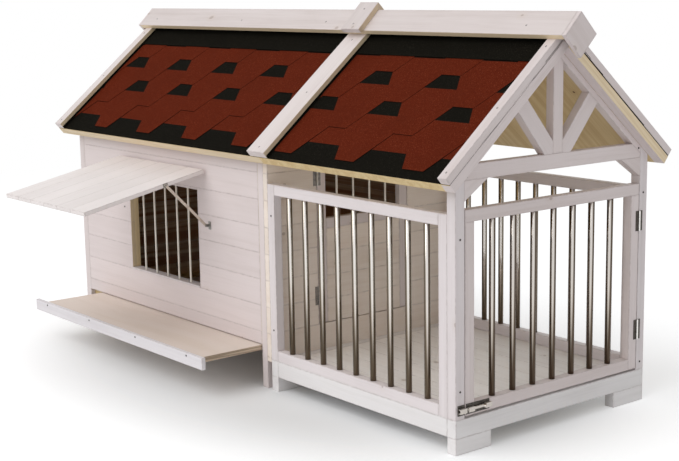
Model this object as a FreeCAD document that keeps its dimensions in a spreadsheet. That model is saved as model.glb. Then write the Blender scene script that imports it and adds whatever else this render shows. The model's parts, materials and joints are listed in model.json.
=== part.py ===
import FreeCAD, Part
import os
import re
import Sketcher

# A wooden dog house with a barred pen on its right end. Millimetres, +Z up.
# Layout frame: X = 0 at the pen's door face and negative towards the house, Y = 0 at the window side,
# Z = 0 at the floor. The model's origin is under the middle of its bounding box, so every placement
# takes ORIGIN_X and ORIGIN_Y off its layout position.

SIZES = {
    # Footprint and walls
    "width": 700, "pen_length": 758, "house_length": 1078,
    "post": 30, "inner_post": 25, "wall_thick": 14, "partition_thick": 20,
    "first_seam": 162, "plank_pitch": 75.9, "wall_bottom": 124.5, "partition_bottom": 80,
    # Roof
    "ridge_height": 1029.5, "roof_slope": 40, "eave_run": 535, "barge_thick": 20, "shingle_thick": 2,
    "deck_thick": 24, "barge_width": 38, "door_barge_width": 30, "joint_batten_width": 80,
    "door_overhang": 32, "left_overhang": 54, "cap_overhang": 32, "door_cap_overhang": 40,
    "cap_board": 80, "cap_thick": 15, "saddle_board": 105, "end_plate_thick": 12,
    # Pen base
    "foot_height": 42, "foot_length": 120, "skirt_height": 46,
    "floor_thick": 16, "bearer_height": 30, "bearer_width": 20, "floor_board_count": 8,
    # Pen side panels
    "member": 30, "member_thick": 25, "panel_top": 590, "bar_radius": 8, "side_bar_pitch": 70,
    # Front door
    "door_gap": 2, "door_bottom": 94, "door_top": 600, "leaf_span": 54,
    "upper_hinge_z": 473, "lower_hinge_z": 176,
    "leaf_thick": 1.5, "leaf_wide": 14, "knuckle_radius": 2.6, "pin_radius": 1.2, "pin_play": 0.1,
    "latch_z": 112, "bolt_radius": 4, "bolt_length": 82, "bolt_throw": 20, "bolt_play": 0.4,
    "latch_height": 26, "latch_plate_length": 78, "keeper_length": 22,
    # Gable truss over the front door
    "tie_bottom": 670, "tie_top": 708, "rafter_depth": 16, "king_post_width": 35,
    "strut_width": 44, "strut_foot": 48, "knee_reach": 78, "knee_drop": 50,
    # Doorway and inner door
    "doorway_left": 171, "doorway_width": 342, "inner_door_thick": 18, "inner_window_bottom": 470,
    "grille_radius": 3, "inner_bar_pitch": 61, "inner_upper_hinge_z": 567, "inner_lower_hinge_z": 220,
    # Window
    "window_right": 1118, "window_width": 398, "window_bottom": 243, "window_height": 292,
    "jamb_depth": 30, "jamb_thick": 12, "sill_proud": 2,
    "window_bar_pitch": 66, "window_bar_inset": 10,
    # Tray
    "tray_thick": 16, "tray_top": 122, "tray_length": 928, "tray_depth": 665, "tray_out": 195,
    "tray_side_play": 4, "front_thick": 12, "front_height": 35, "front_length": 1001,
    "front_right_lap": 10, "guide_wide": 51, "bearer_wide": 91, "right_bearer_wide": 32,
    # Flap and its stay
    "flap_width": 490, "flap_length": 402, "flap_thick": 12, "flap_right": 1065, "flap_axis_z": 591,
    "flap_gap": 3, "flap_angle": 78, "flap_board_count": 6, "flap_hinge_span": 60,
    "batten_thick": 8, "batten_wide": 30, "batten_play": 4,
    "stay_reach": 135, "stay_wall_z": 436, "stay_width": 8, "stay_thick": 2, "stay_play": 0.4,
    "rivet_radius": 3,
    # Screws
    "screw_radius": 3.2, "screw_proud": 0.8,
}

DOOR_BARS = 7
SIDE_BARS = 9
WINDOW_BARS = 5
INNER_BARS = 4
LEFT_ROWS = 12
WALL_ROWS = 8
FIRST_DOORWAY_ROW = 1
ROWS_BESIDE_DOORWAY = 7
WINDOW_ROWS = (2, 3, 4, 5)

doc = FreeCAD.newDocument("DogHouse")
sheet = doc.addObject("Spreadsheet::Sheet", "Sizes")
for row, (alias, value) in enumerate(SIZES.items(), start=1):
    sheet.set(f"A{row}", alias)
    sheet.set(f"B{row}", str(value))
    sheet.setAlias(f"B{row}", alias)
doc.recompute()

nodes = []


def bound(text):
    """An expression with each named size pointing at its cell."""
    return re.sub(r"[a-z][a-z0-9_]*", lambda m: f"Sizes.{m[0]}" if m[0] in SIZES else m[0], str(text))


# Roof geometry, as expressions. Depth is measured square to the slope, down from the barge boards' top face.
SIN = "sin(roof_slope * 1 deg)"
COS = "cos(roof_slope * 1 deg)"
TAN = "tan(roof_slope * 1 deg)"
HALF = "cos(45 deg)"
SHINGLE_TOP = "barge_thick"
DECK_TOP = "(barge_thick + shingle_thick)"
DECK_UNDER = "(barge_thick + shingle_thick + deck_thick)"
RAFTER_UNDER = "(barge_thick + shingle_thick + deck_thick + rafter_depth)"
CAP_APEX = f"(ridge_height - {TAN} * (cap_board - cap_thick) * {HALF} + (cap_board + cap_thick) * {HALF})"
SADDLE_APEX = f"({CAP_APEX} + 2 * cap_thick * {HALF})"
WALL_APEX = f"(ridge_height - {DECK_UNDER} / {COS})"

# Main stations along X.
LEFT_END = "(0 - pen_length - house_length)"
PARTITION_LEFT = "(0 - pen_length - partition_thick)"
INNER_POST_LEFT = f"({PARTITION_LEFT} - inner_post)"
ROOF_JOINT = "(post - pen_length)"
ROOF_LEFT = f"({LEFT_END} - left_overhang)"
SKIRT_TOP = "(foot_height + skirt_height)"

# The flap stands open at rest, turned up from hanging flat on the wall.
FLAP_SIN = "sin(flap_angle * 1 deg)"
FLAP_COS = "cos(flap_angle * 1 deg)"
FLAP_AXIS_Y = "(0 - flap_gap)"

# Half the bounding box: the cap's ends along X, and the flap's front edge to the far eave along Y.
ORIGIN_X = f"((door_overhang + door_cap_overhang + {ROOF_LEFT} - cap_overhang) / 2)"
FLAP_FRONT = f"({FLAP_AXIS_Y} - flap_thick * {FLAP_COS} - (flap_length + flap_gap) * {FLAP_SIN})"
ORIGIN_Y = f"(({FLAP_FRONT} + width / 2 + eave_run * {COS}) / 2)"


def place(item, x, y, z):
    """Puts an object at a layout position."""
    item.setExpression("Placement.Base.x", bound(f"{x} - {ORIGIN_X}"))
    item.setExpression("Placement.Base.y", bound(f"{y} - {ORIGIN_Y}"))
    item.setExpression("Placement.Base.z", bound(z))
    return item


def box(x, y, z, along_x, along_y, along_z):
    """A board square to the axes, from its lowest corner."""
    item = doc.addObject("Part::Box", "Board")
    item.setExpression("Length", bound(along_x))
    item.setExpression("Width", bound(along_y))
    item.setExpression("Height", bound(along_z))
    return place(item, x, y, z)


TURNS = {"z": None, "x": (FreeCAD.Vector(0, 1, 0), 90), "y": (FreeCAD.Vector(1, 0, 0), -90)}


def rod(direction, x, y, z, radius, length):
    """A round bar along one axis, from the centre of its first end."""
    item = doc.addObject("Part::Cylinder", "Rod")
    item.setExpression("Radius", bound(radius))
    item.setExpression("Height", bound(length))
    if TURNS[direction]:
        item.Placement = FreeCAD.Placement(FreeCAD.Vector(), FreeCAD.Rotation(*TURNS[direction]))
    return place(item, x, y, z)


def profile(points, x, length):
    """A piece with a straight-sided outline in the Y-Z plane, running along X from x."""
    body = doc.addObject("PartDesign::Body", "Body")
    sketch = body.newObject("Sketcher::SketchObject", "Outline")
    plane = next(item for item in body.Origin.OriginFeatures if item.Role == "YZ_Plane")
    sketch.AttachmentSupport = [(plane, "")]
    sketch.MapMode = "FlatFace"
    count = len(points)
    start = [FreeCAD.Vector(300, 0, 0)]
    for _ in range(count - 1):
        start.append(FreeCAD.Rotation(FreeCAD.Vector(0, 0, 1), 360 / count).multVec(start[-1]))
    for index in range(count):
        sketch.addGeometry(Part.LineSegment(start[index], start[(index + 1) % count]), False)
    for index in range(count):
        sketch.addConstraint(Sketcher.Constraint("Coincident", index, 2, (index + 1) % count, 1))
    for index, point in enumerate(points):
        for kind, value, guess in (("DistanceX", point[0], start[index].x), ("DistanceY", point[1], start[index].y)):
            number = sketch.addConstraint(Sketcher.Constraint(kind, -1, 1, index, 1, guess))
            sketch.setExpression(f"Constraints[{number}]", bound(value))
    pad = body.newObject("PartDesign::Pad", "Pad")
    pad.Profile = sketch
    pad.setExpression("Length", bound(length))
    return place(body, x, "0", "0")


def joined(items):
    """One solid fused from several."""
    fuse = doc.addObject("Part::MultiFuse", "Joined")
    fuse.Shapes = items
    return fuse


def cut(base, tool):
    """The base with the tool taken out of it."""
    item = doc.addObject("Part::Cut", "Cut")
    item.Base = base
    item.Tool = tool
    return item


def node(label, items):
    """Names one piece, or a group of alike pieces that share a file."""
    if len(items) == 1:
        piece = items[0]
    else:
        piece = doc.addObject("Part::Compound", "Group")
        piece.Links = items
    piece.Label = label
    nodes.append(piece)
    return piece


def slope_point(side, run, depth):
    """A point in Y and Z on one roof slope (side -1 is the window side), down the slope from the ridge."""
    sign = "-" if side < 0 else "+"
    across = f"(({run}) * {COS} - ({depth}) * {SIN})"
    return (f"(width / 2 {sign} {across})", f"(ridge_height - ({run}) * {SIN} - ({depth}) * {COS})")


def ridge_point(depth):
    return ("(width / 2)", f"(ridge_height - ({depth}) / {COS})")


def slope_layer(side, top, under, x, length):
    """A layer of one roof slope between two depths, mitred at the ridge and cut square at the eave."""
    outline = [ridge_point(top), slope_point(side, "eave_run", top),
               slope_point(side, "eave_run", under), ridge_point(under)]
    return profile(outline, x, length)


def under_roof(y, depth):
    """The height of a roof layer above a place y across the house."""
    return f"(ridge_height - {depth} / {COS} - {TAN} * abs(width / 2 - {y}))"


def seam(row):
    """The height of the seam under a row of wall boards."""
    return f"(first_seam + {row - 1} * plank_pitch)"


def build_posts():
    """Corner posts, with tops sawn to the roof's slope, of the house and of the pen."""
    def post_at(y, x, wide, bottom):
        far = f"({y} + post)"
        outline = [(y, bottom), (far, bottom), (far, under_roof(far, DECK_UNDER)), (y, under_roof(y, DECK_UNDER))]
        return profile(outline, x, wide)
    sides = ("0", "(width - post)")
    left = [post_at(y, LEFT_END, "post", "0") for y in sides]
    right = [post_at(y, INNER_POST_LEFT, "inner_post", "0") for y in sides]
    node("house_posts", left + right)
    node("pen_corner_posts", [post_at(y, "0 - post", "post", SKIRT_TOP) for y in sides])


def long_wall_row(y, row, left, length, lowest="wall_bottom"):
    """One board of a long wall, from its seam up to the next."""
    bottom = lowest if row == 0 else seam(row)
    top = seam(row + 1) if row < WALL_ROWS - 1 else under_roof("0", DECK_UNDER)
    return box(left, y, bottom, length, "wall_thick", f"{top} - {bottom}")


WALL_LEFT = f"({LEFT_END} + post)"
WALL_LENGTH = f"({INNER_POST_LEFT} - {WALL_LEFT})"
WINDOW_RIGHT = "(0 - window_right)"
WINDOW_LEFT = "(0 - window_right - window_width)"


def build_long_walls():
    """The window wall and the back wall, of boards laid between the posts."""
    front = []
    for row in range(WALL_ROWS):
        if row not in WINDOW_ROWS:
            front.append(long_wall_row("0", row, WALL_LEFT, WALL_LENGTH))
            continue
        front.append(long_wall_row("0", row, WALL_LEFT, f"{WINDOW_LEFT} - {WALL_LEFT}"))
        front.append(long_wall_row("0", row, WINDOW_RIGHT, f"{INNER_POST_LEFT} - {WINDOW_RIGHT}"))
    node("window_wall_boards", front)
    back = [long_wall_row("width - wall_thick", row, WALL_LEFT, WALL_LENGTH, seam(0)) for row in range(WALL_ROWS)]
    node("back_wall_boards", back)


def gable_row(bottom, top, x, thick, reach):
    """A board across a gable end, no wider than the roof leaves room for."""
    def half(height):
        return f"min({reach}; ({WALL_APEX} - {height}) / {TAN})"
    outline = [(f"width / 2 - {half(bottom)}", bottom), (f"width / 2 + {half(bottom)}", bottom),
               (f"width / 2 + {half(top)}", top), (f"width / 2 - {half(top)}", top)]
    return profile(outline, x, thick)


TOP_GAP = 8


def gable_rows(first, x, thick, reach):
    rows = []
    for row in range(first, LEFT_ROWS):
        top = seam(row + 1) if row < LEFT_ROWS - 1 else f"({WALL_APEX} - {TOP_GAP})"
        rows.append(gable_row(seam(row), top, x, thick, reach))
    return rows


def build_end_walls():
    """The left gable end, and the partition between house and pen with its doorway."""
    node("left_wall_boards", gable_rows(0, LEFT_END, "wall_thick", "width / 2 - post"))
    boards = [box(PARTITION_LEFT, "0", "partition_bottom", "partition_thick", "width",
                  f"{seam(1)} - partition_bottom")]
    doorway_right = "(doorway_left + doorway_width)"
    last = FIRST_DOORWAY_ROW + ROWS_BESIDE_DOORWAY
    for row in range(FIRST_DOORWAY_ROW, last):
        for y, far in (("0", "doorway_left"), (doorway_right, "width")):
            low, high = (seam(row), seam(row + 1))
            roof_low = f"min({high}; {under_roof('0', DECK_UNDER)})"
            if row < last - 1:
                boards.append(box(PARTITION_LEFT, y, low, "partition_thick", f"{far} - {y}", "plank_pitch"))
            else:
                outer, inner = ("0", far) if y == "0" else ("width", y)
                shoulder = f"(width / 2 - ({WALL_APEX} - {high}) / {TAN})"
                turn = shoulder if y == "0" else f"(width - {shoulder})"
                boards.append(profile([(inner, low), (outer, low), (outer, roof_low), (turn, high),
                                       (inner, high)], PARTITION_LEFT, "partition_thick"))
    node("partition_boards", boards + gable_rows(last, PARTITION_LEFT, "partition_thick", "width / 2"))


def build_window():
    """The window's lining, sill and bars. The wall boards are cut to the opening, the lining fills it out."""
    top = "(window_bottom + window_height)"
    low_seam = seam(WINDOW_ROWS[0])
    high_seam = seam(WINDOW_ROWS[-1] + 1)
    jambs = [box(x, "wall_thick", low_seam, "jamb_thick", "jamb_depth - wall_thick", f"{high_seam} - {low_seam}")
             for x in (f"{WINDOW_LEFT} - jamb_thick", WINDOW_RIGHT)]
    node("window_jambs", jambs)
    node("window_sill", [box(WINDOW_LEFT, "0 - sill_proud", low_seam, "window_width", "jamb_depth + sill_proud",
                             f"window_bottom - {low_seam}")])
    node("window_head", [box(WINDOW_LEFT, "0", top, "window_width", "jamb_depth", f"{high_seam} - {top}")])
    bars = []
    for index in range(WINDOW_BARS):
        x = f"({WINDOW_LEFT} + window_width / 2 + {index - (WINDOW_BARS - 1) / 2} * window_bar_pitch)"
        bars.append(rod("z", x, "window_bar_inset", "window_bottom", "grille_radius", "window_height"))
    node("window_bars", bars)


TRAY_BOTTOM = "(tray_top - tray_thick)"
TRAY_RIGHT = f"({INNER_POST_LEFT} - tray_side_play)"
TRAY_BACK_OF_FRONT = "(0 - tray_out)"
TRAY_FRONT_RIGHT = f"({TRAY_RIGHT} + front_right_lap)"


def build_tray():
    """The pull-out floor tray, drawn part way out, and the strips inside the house that carry it."""
    bearer_z = f"({TRAY_BOTTOM} - tray_thick)"
    bearer_run = "(width - 2 * post)"
    bearers = [box(WALL_LEFT, "post", bearer_z, "bearer_wide", bearer_run, "tray_thick"),
               box(f"{PARTITION_LEFT} - right_bearer_wide", "post", bearer_z, "right_bearer_wide", bearer_run,
                   "tray_thick")]
    node("tray_bearers", bearers)
    node("tray_guide_strip", [box(WALL_LEFT, "wall_thick", TRAY_BOTTOM, "guide_wide",
                                  "width - 2 * wall_thick", f"wall_bottom - {TRAY_BOTTOM}")])
    node("tray_panel", [box(f"{TRAY_RIGHT} - tray_length", TRAY_BACK_OF_FRONT, TRAY_BOTTOM, "tray_length",
                            "tray_depth", "tray_thick")])
    front_left = f"({TRAY_FRONT_RIGHT} - front_length)"
    node("tray_front_board", [box(front_left, f"{TRAY_BACK_OF_FRONT} - front_thick", "tray_top - front_height",
                                  "front_length", "front_thick", "front_height")])
    screws = []
    for share in (0.08, 0.36, 0.64, 0.92):
        screws.append(rod("y", f"{front_left} + {share} * front_length",
                          f"{TRAY_BACK_OF_FRONT} - front_thick - screw_proud",
                          f"{TRAY_BOTTOM} + tray_thick / 2", "screw_radius", "screw_proud"))
    node("tray_screws", screws)


def flap_point(out, down):
    """A point of the flap at rest: out from its inner face and down from the hinge axis, as if it were shut."""
    y = f"({FLAP_AXIS_Y} - ({out}) * {FLAP_COS} - ({down}) * {FLAP_SIN})"
    z = f"(flap_axis_z + ({out}) * {FLAP_SIN} - ({down}) * {FLAP_COS})"
    return (y, z)


def flap_slab(x, length, inner, outer, high, low):
    """A slab on the open flap, between two distances out and two distances down from the hinge axis."""
    outline = [flap_point(inner, high), flap_point(outer, high), flap_point(outer, low), flap_point(inner, low)]
    return profile(outline, x, length)


FLAP_LEFT = "(0 - flap_right - flap_width)"
FLAP_END = "(flap_length + flap_gap)"


def build_flap():
    """The window flap: boards side by side, held by two battens that drop into the window when it shuts."""
    boards = []
    for index in range(SIZES["flap_board_count"]):
        wide = "(flap_width / flap_board_count)"
        boards.append(flap_slab(f"{FLAP_LEFT} + {index} * {wide}", wide, "0", "flap_thick", "flap_gap", FLAP_END))
    node("flap_boards", boards)
    window_top = "(flap_axis_z - window_bottom - window_height)"
    window_sill = "(flap_axis_z - window_bottom)"
    spans = ((f"({window_top} + batten_play)", f"({window_top} + batten_play + batten_wide)"),
             (f"({window_sill} - batten_play - batten_wide)", f"({window_sill} - batten_play)"))
    battens = []
    for high, low in spans:
        battens.append(flap_slab(f"{WINDOW_LEFT} + batten_play", "window_width - 2 * batten_play",
                                 "0 - batten_thick", "0", high, low))
    node("flap_battens", battens)


# A butt hinge: the fixed leaf has the end knuckles and the pin, the swinging leaf the middle knuckle.
THIRD = "(leaf_span / 3)"


def upright_hinge(face, axis_y, bottom, toward):
    """The two leaves of a hinge on a wall square to X. toward is +1 where the swinging leaf lies at higher Y."""
    axis_x = f"({face} + knuckle_radius)"
    reach = "(leaf_wide - knuckle_radius - leaf_thick)"
    neck = "(knuckle_radius + 2 * pin_play)"

    def plate(side):
        y = f"({axis_y} + {neck})" if side > 0 else f"({axis_y} - {neck} - {reach})"
        return box(face, y, bottom, "leaf_thick", reach, "leaf_span")

    def neck_piece(side, start, length):
        y = f"({axis_y} + pin_radius + pin_play)" if side > 0 else f"({axis_y} - {neck})"
        return box(face, y, f"{bottom} + {start}", "leaf_thick", f"{neck} - pin_radius - pin_play", length)

    def knuckle(start, length):
        return rod("z", axis_x, axis_y, f"{bottom} + {start}", "knuckle_radius", length)

    pin = rod("z", axis_x, axis_y, bottom, "pin_radius", "leaf_span")
    fixed = joined([plate(-toward), neck_piece(-toward, "0", THIRD), neck_piece(-toward, f"2 * {THIRD}", THIRD),
                    knuckle("0", THIRD), knuckle(f"2 * {THIRD}", THIRD), pin])
    middle = f"({THIRD} - 2 * pin_play)"
    solid = joined([plate(toward), neck_piece(toward, f"({THIRD} + pin_play)", middle),
                    knuckle(f"({THIRD} + pin_play)", middle)])
    bore = rod("z", axis_x, axis_y, bottom, "pin_radius + pin_play", "leaf_span")
    return fixed, cut(solid, bore)


def flap_hinge(x):
    """One of the flap's butt hinges, with its pin along X."""
    third = "(flap_hinge_span / 3)"
    radius = "(flap_gap - 2 * pin_play)"
    neck = "(flap_gap + leaf_thick / 3)"
    thin = "(leaf_thick / 2)"
    length = "(leaf_wide + leaf_thick)"

    def knuckle(start, span):
        return rod("x", f"{x} + {start}", FLAP_AXIS_Y, "flap_axis_z", radius, span)

    wall_plate = box(x, f"0 - {thin}", f"flap_axis_z - {neck} - {length}", "flap_hinge_span", thin, length)
    wall_necks = [box(f"{x} + {start}", f"0 - {thin}", f"flap_axis_z - {neck}", third, thin, neck)
                  for start in ("0", f"2 * {third}")]
    pin = rod("x", x, FLAP_AXIS_Y, "flap_axis_z", "pin_radius", "flap_hinge_span")
    wall_leaf = joined([wall_plate, pin, knuckle("0", third), knuckle(f"2 * {third}", third)] + wall_necks)
    middle = f"({third} - 2 * pin_play)"
    middle_x = f"({x} + {third} + pin_play)"
    flap_plate = flap_slab(x, "flap_hinge_span", f"0 - {thin}", "0", neck, f"{neck} + {length}")
    flap_neck = flap_slab(middle_x, middle, f"0 - {thin}", "0", "pin_radius + pin_play", f"{neck} + pin_play")
    solid = joined([flap_plate, flap_neck, rod("x", middle_x, FLAP_AXIS_Y, "flap_axis_z", radius, middle)])
    bore = rod("x", x, FLAP_AXIS_Y, "flap_axis_z", "pin_radius + pin_play", "flap_hinge_span")
    return wall_leaf, cut(solid, bore)


def build_flap_hinges():
    pairs = [flap_hinge(f"({FLAP_LEFT} + {share} * flap_width - flap_hinge_span / 2)") for share in (0.2, 0.8)]
    node("flap_hinge_wall_leaves", [pair[0] for pair in pairs])
    node("flap_hinge_leaves", [pair[1] for pair in pairs])


# The folding stay at the flap's right edge. Both links lie in one line when the flap is open, and fold up
# along the wall when it shuts, so their lengths follow from where their two ends are fixed.
STAY_Y, STAY_Z = flap_point("flap_thick / 2", "(stay_reach + flap_gap)")
WALL_PIVOT_Y = "(0 - flap_gap - flap_thick / 2)"
STAY_RUN = f"({WALL_PIVOT_Y} - {STAY_Y})"
STAY_RISE = f"({STAY_Z} - stay_wall_z)"
STAY_SPAN = f"sqrt({STAY_RUN} * {STAY_RUN} + {STAY_RISE} * {STAY_RISE})"
SHUT_OFFSET = "(flap_axis_z - flap_gap - stay_reach - stay_wall_z)"
LOWER_LINK = f"(({STAY_SPAN} + {SHUT_OFFSET}) / 2)"
UPPER_LINK = f"(({STAY_SPAN} - {SHUT_OFFSET}) / 2)"
ALONG_Y = f"({STAY_RUN} / {STAY_SPAN})"
ALONG_Z = f"({STAY_RISE} / {STAY_SPAN})"
STAY_X = "(stay_play - flap_right)"
LOWER_X = f"({STAY_X} + stay_thick + stay_play)"


def stay_link(y, z, length, x):
    """A flat link with round ends, reaching down and back towards the wall from its upper pivot."""
    half_y = f"({ALONG_Z} * stay_width / 2)"
    half_z = f"({ALONG_Y} * stay_width / 2)"
    end_y = f"({y} + {length} * {ALONG_Y})"
    end_z = f"({z} - {length} * {ALONG_Z})"
    strip = profile([(f"{y} - {half_y}", f"{z} - {half_z}"), (f"{end_y} - {half_y}", f"{end_z} - {half_z}"),
                     (f"{end_y} + {half_y}", f"{end_z} + {half_z}"), (f"{y} + {half_y}", f"{z} + {half_z}")],
                    x, "stay_thick")
    ends = [rod("x", x, py, pz, "stay_width / 2", "stay_thick") for py, pz in ((y, z), (end_y, end_z))]
    return joined([strip] + ends)


def pivot_hole(y, z, x):
    return rod("x", x, y, z, "rivet_radius + pin_play", "stay_thick")


def build_stay():
    """Two links, the bracket on the flap's edge and the bracket on the wall."""
    knee_y = f"({STAY_Y} + {UPPER_LINK} * {ALONG_Y})"
    knee_z = f"({STAY_Z} - {UPPER_LINK} * {ALONG_Z})"
    upper = cut(stay_link(STAY_Y, STAY_Z, UPPER_LINK, STAY_X), pivot_hole(STAY_Y, STAY_Z, STAY_X))
    node("stay_upper_link", [upper])
    lower = cut(stay_link(knee_y, knee_z, LOWER_LINK, LOWER_X), pivot_hole(WALL_PIVOT_Y, "stay_wall_z", LOWER_X))
    rivet = rod("x", f"{LOWER_X} + stay_thick", knee_y, knee_z, "rivet_radius", "stay_thick / 2")
    node("stay_lower_link", [joined([lower, rivet])])
    plate = flap_slab("0 - flap_right", "stay_play / 2", "0", "flap_thick", "stay_reach + flap_gap - stay_width",
                      "stay_reach + flap_gap + stay_width")
    pin = rod("x", "0 - flap_right", STAY_Y, STAY_Z, "rivet_radius", "stay_play + stay_thick + stay_play / 2")
    node("stay_flap_bracket", [joined([plate, pin])])
    far_x = f"({LOWER_X} + stay_thick + stay_play / 2)"
    base = box(far_x, "0 - leaf_thick", "stay_wall_z - 1.5 * stay_width", "1.5 * stay_width", "leaf_thick",
               "3 * stay_width")
    ear = box(far_x, f"{WALL_PIVOT_Y} - stay_width / 2", "stay_wall_z - stay_width / 2", "leaf_thick",
              "flap_gap + flap_thick / 2 + stay_width / 2", "stay_width")
    wall_pin = rod("x", LOWER_X, WALL_PIVOT_Y, "stay_wall_z", "rivet_radius", "stay_thick + stay_play")
    node("stay_wall_bracket", [joined([base, ear, wall_pin])])


def build_pen_base():
    """Feet, skirt boards, and the pen's floor on its bearers."""
    ends = ("0 - pen_length", "0 - post")
    feet = [box(x, y, "0", "post", "foot_length", "foot_height") for x in ends for y in ("0", "width - foot_length")]
    node("pen_feet", feet)
    node("pen_end_skirts", [box(x, "0", "foot_height", "post", "width", "skirt_height") for x in ends])
    side_run = "(pen_length - 2 * post)"
    side_x = "(post - pen_length)"
    node("pen_side_skirts", [box(side_x, y, "foot_height", side_run, "post", "skirt_height")
                             for y in ("0", "width - post")])
    inside = "(width - 2 * post)"
    node("pen_floor_bearers", [box(x, "post", f"{SKIRT_TOP} - floor_thick - bearer_height", "bearer_width", inside,
                                   "bearer_height") for x in (side_x, "0 - post - bearer_width")])
    wide = f"({inside} / floor_board_count)"
    node("pen_floor_boards", [box(side_x, f"post + {index} * {wide}", f"{SKIRT_TOP} - floor_thick", side_run, wide,
                                  "floor_thick") for index in range(SIZES["floor_board_count"])])


def build_side_panels():
    """The barred panels of the pen's long sides."""
    left = "(0 - pen_length)"
    run = "(pen_length - post)"
    inside = "(panel_top - member - member - (foot_height + skirt_height))"
    stiles, rails, bars = [], [], []
    for y in ("0", "(width - member_thick)"):
        stiles += [box(x, y, SKIRT_TOP, "member", "member_thick", f"panel_top - {SKIRT_TOP}")
                   for x in (left, "0 - post - member")]
        rails += [box(f"{left} + member", y, z, f"{run} - 2 * member", "member_thick", "member")
                  for z in (SKIRT_TOP, "panel_top - member")]
        for index in range(SIDE_BARS):
            x = f"({left} + {run} / 2 + {index - (SIDE_BARS - 1) / 2} * side_bar_pitch)"
            bars.append(rod("z", x, f"{y} + member_thick / 2", f"{SKIRT_TOP} + member", "bar_radius", inside))
    node("side_panel_stiles", stiles)
    node("side_panel_rails", rails)
    node("side_panel_bars", bars)


DOOR_NEAR = "(post + door_gap)"
DOOR_WIDE = "(width - 2 * post - 2 * door_gap)"
DOOR_BACK = "(0 - member_thick)"


def build_front_door():
    """The barred door in the pen's end, its hinges and its barrel bolt."""
    stile_top = "(door_top - member)"
    node("front_door_stiles", [box(DOOR_BACK, y, "door_bottom", "member_thick", "member", f"{stile_top} - door_bottom")
                               for y in (DOOR_NEAR, f"{DOOR_NEAR} + {DOOR_WIDE} - member")])
    node("front_door_rails", [
        box(DOOR_BACK, DOOR_NEAR, stile_top, "member_thick", DOOR_WIDE, "member"),
        box(DOOR_BACK, f"{DOOR_NEAR} + member", "door_bottom", "member_thick", f"{DOOR_WIDE} - 2 * member", "member")])
    pitch = f"(({DOOR_WIDE} - 2 * member) / {DOOR_BARS + 1})"
    node("front_door_bars", [rod("z", f"{DOOR_BACK} / 2", f"{DOOR_NEAR} + member + {index + 1} * {pitch}",
                                 "door_bottom + member", "bar_radius", f"{stile_top} - door_bottom - member")
                             for index in range(DOOR_BARS)])
    axis_y = "(width - post - door_gap / 2)"
    pairs = [upright_hinge("0", axis_y, z, -1) for z in ("upper_hinge_z", "lower_hinge_z")]
    node("front_hinge_post_leaves", [pair[0] for pair in pairs])
    node("front_hinge_door_leaves", [pair[1] for pair in pairs])


BOLT_X = "(leaf_thick + bolt_radius + bolt_play)"
HOUSING = "(bolt_radius + bolt_play + leaf_thick)"


def bolt_housing(y, length):
    """A square guide on a base plate, with the bolt's bore through it."""
    plate = box("0", y, "latch_z - latch_height / 2", "leaf_thick", length, "latch_height")
    guide = box("0", y, f"latch_z - {HOUSING}", f"{BOLT_X} + {HOUSING}", length, f"2 * {HOUSING}")
    bore = rod("y", BOLT_X, y, "latch_z", "bolt_radius + bolt_play", length)
    return plate, guide, bore


def build_latch():
    """A barrel bolt near the door's lower corner, drawn back clear of its keeper on the post."""
    start = f"({DOOR_NEAR} + door_gap)"
    guide_length = "(latch_plate_length / 4)"
    plate = box("0", start, "latch_z - latch_height / 2", "leaf_thick", "latch_plate_length", "latch_height")
    guides = []
    for y in (start, f"({start} + latch_plate_length - {guide_length})"):
        guide = bolt_housing(y, guide_length)
        guides.append(cut(guide[1], guide[2]))
    floor = box("0", start, "latch_z - bolt_radius", "leaf_thick", "latch_plate_length", "2 * bolt_radius")
    node("latch_plate", [joined([plate, floor] + guides)])
    bolt = rod("y", BOLT_X, DOOR_NEAR, "latch_z", "bolt_radius", "bolt_length")
    knob_y = f"({start} + latch_plate_length - {guide_length} - bolt_radius - bolt_play)"
    knob = rod("x", BOLT_X, knob_y, "latch_z", "bolt_radius", "3 * bolt_radius")
    node("latch_bolt", [joined([bolt, knob])])
    keeper_y = "(post - keeper_length - door_gap)"
    plate, guide, bore = bolt_housing(keeper_y, "keeper_length")
    node("latch_keeper", [cut(joined([plate, guide]), bore)])


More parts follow.
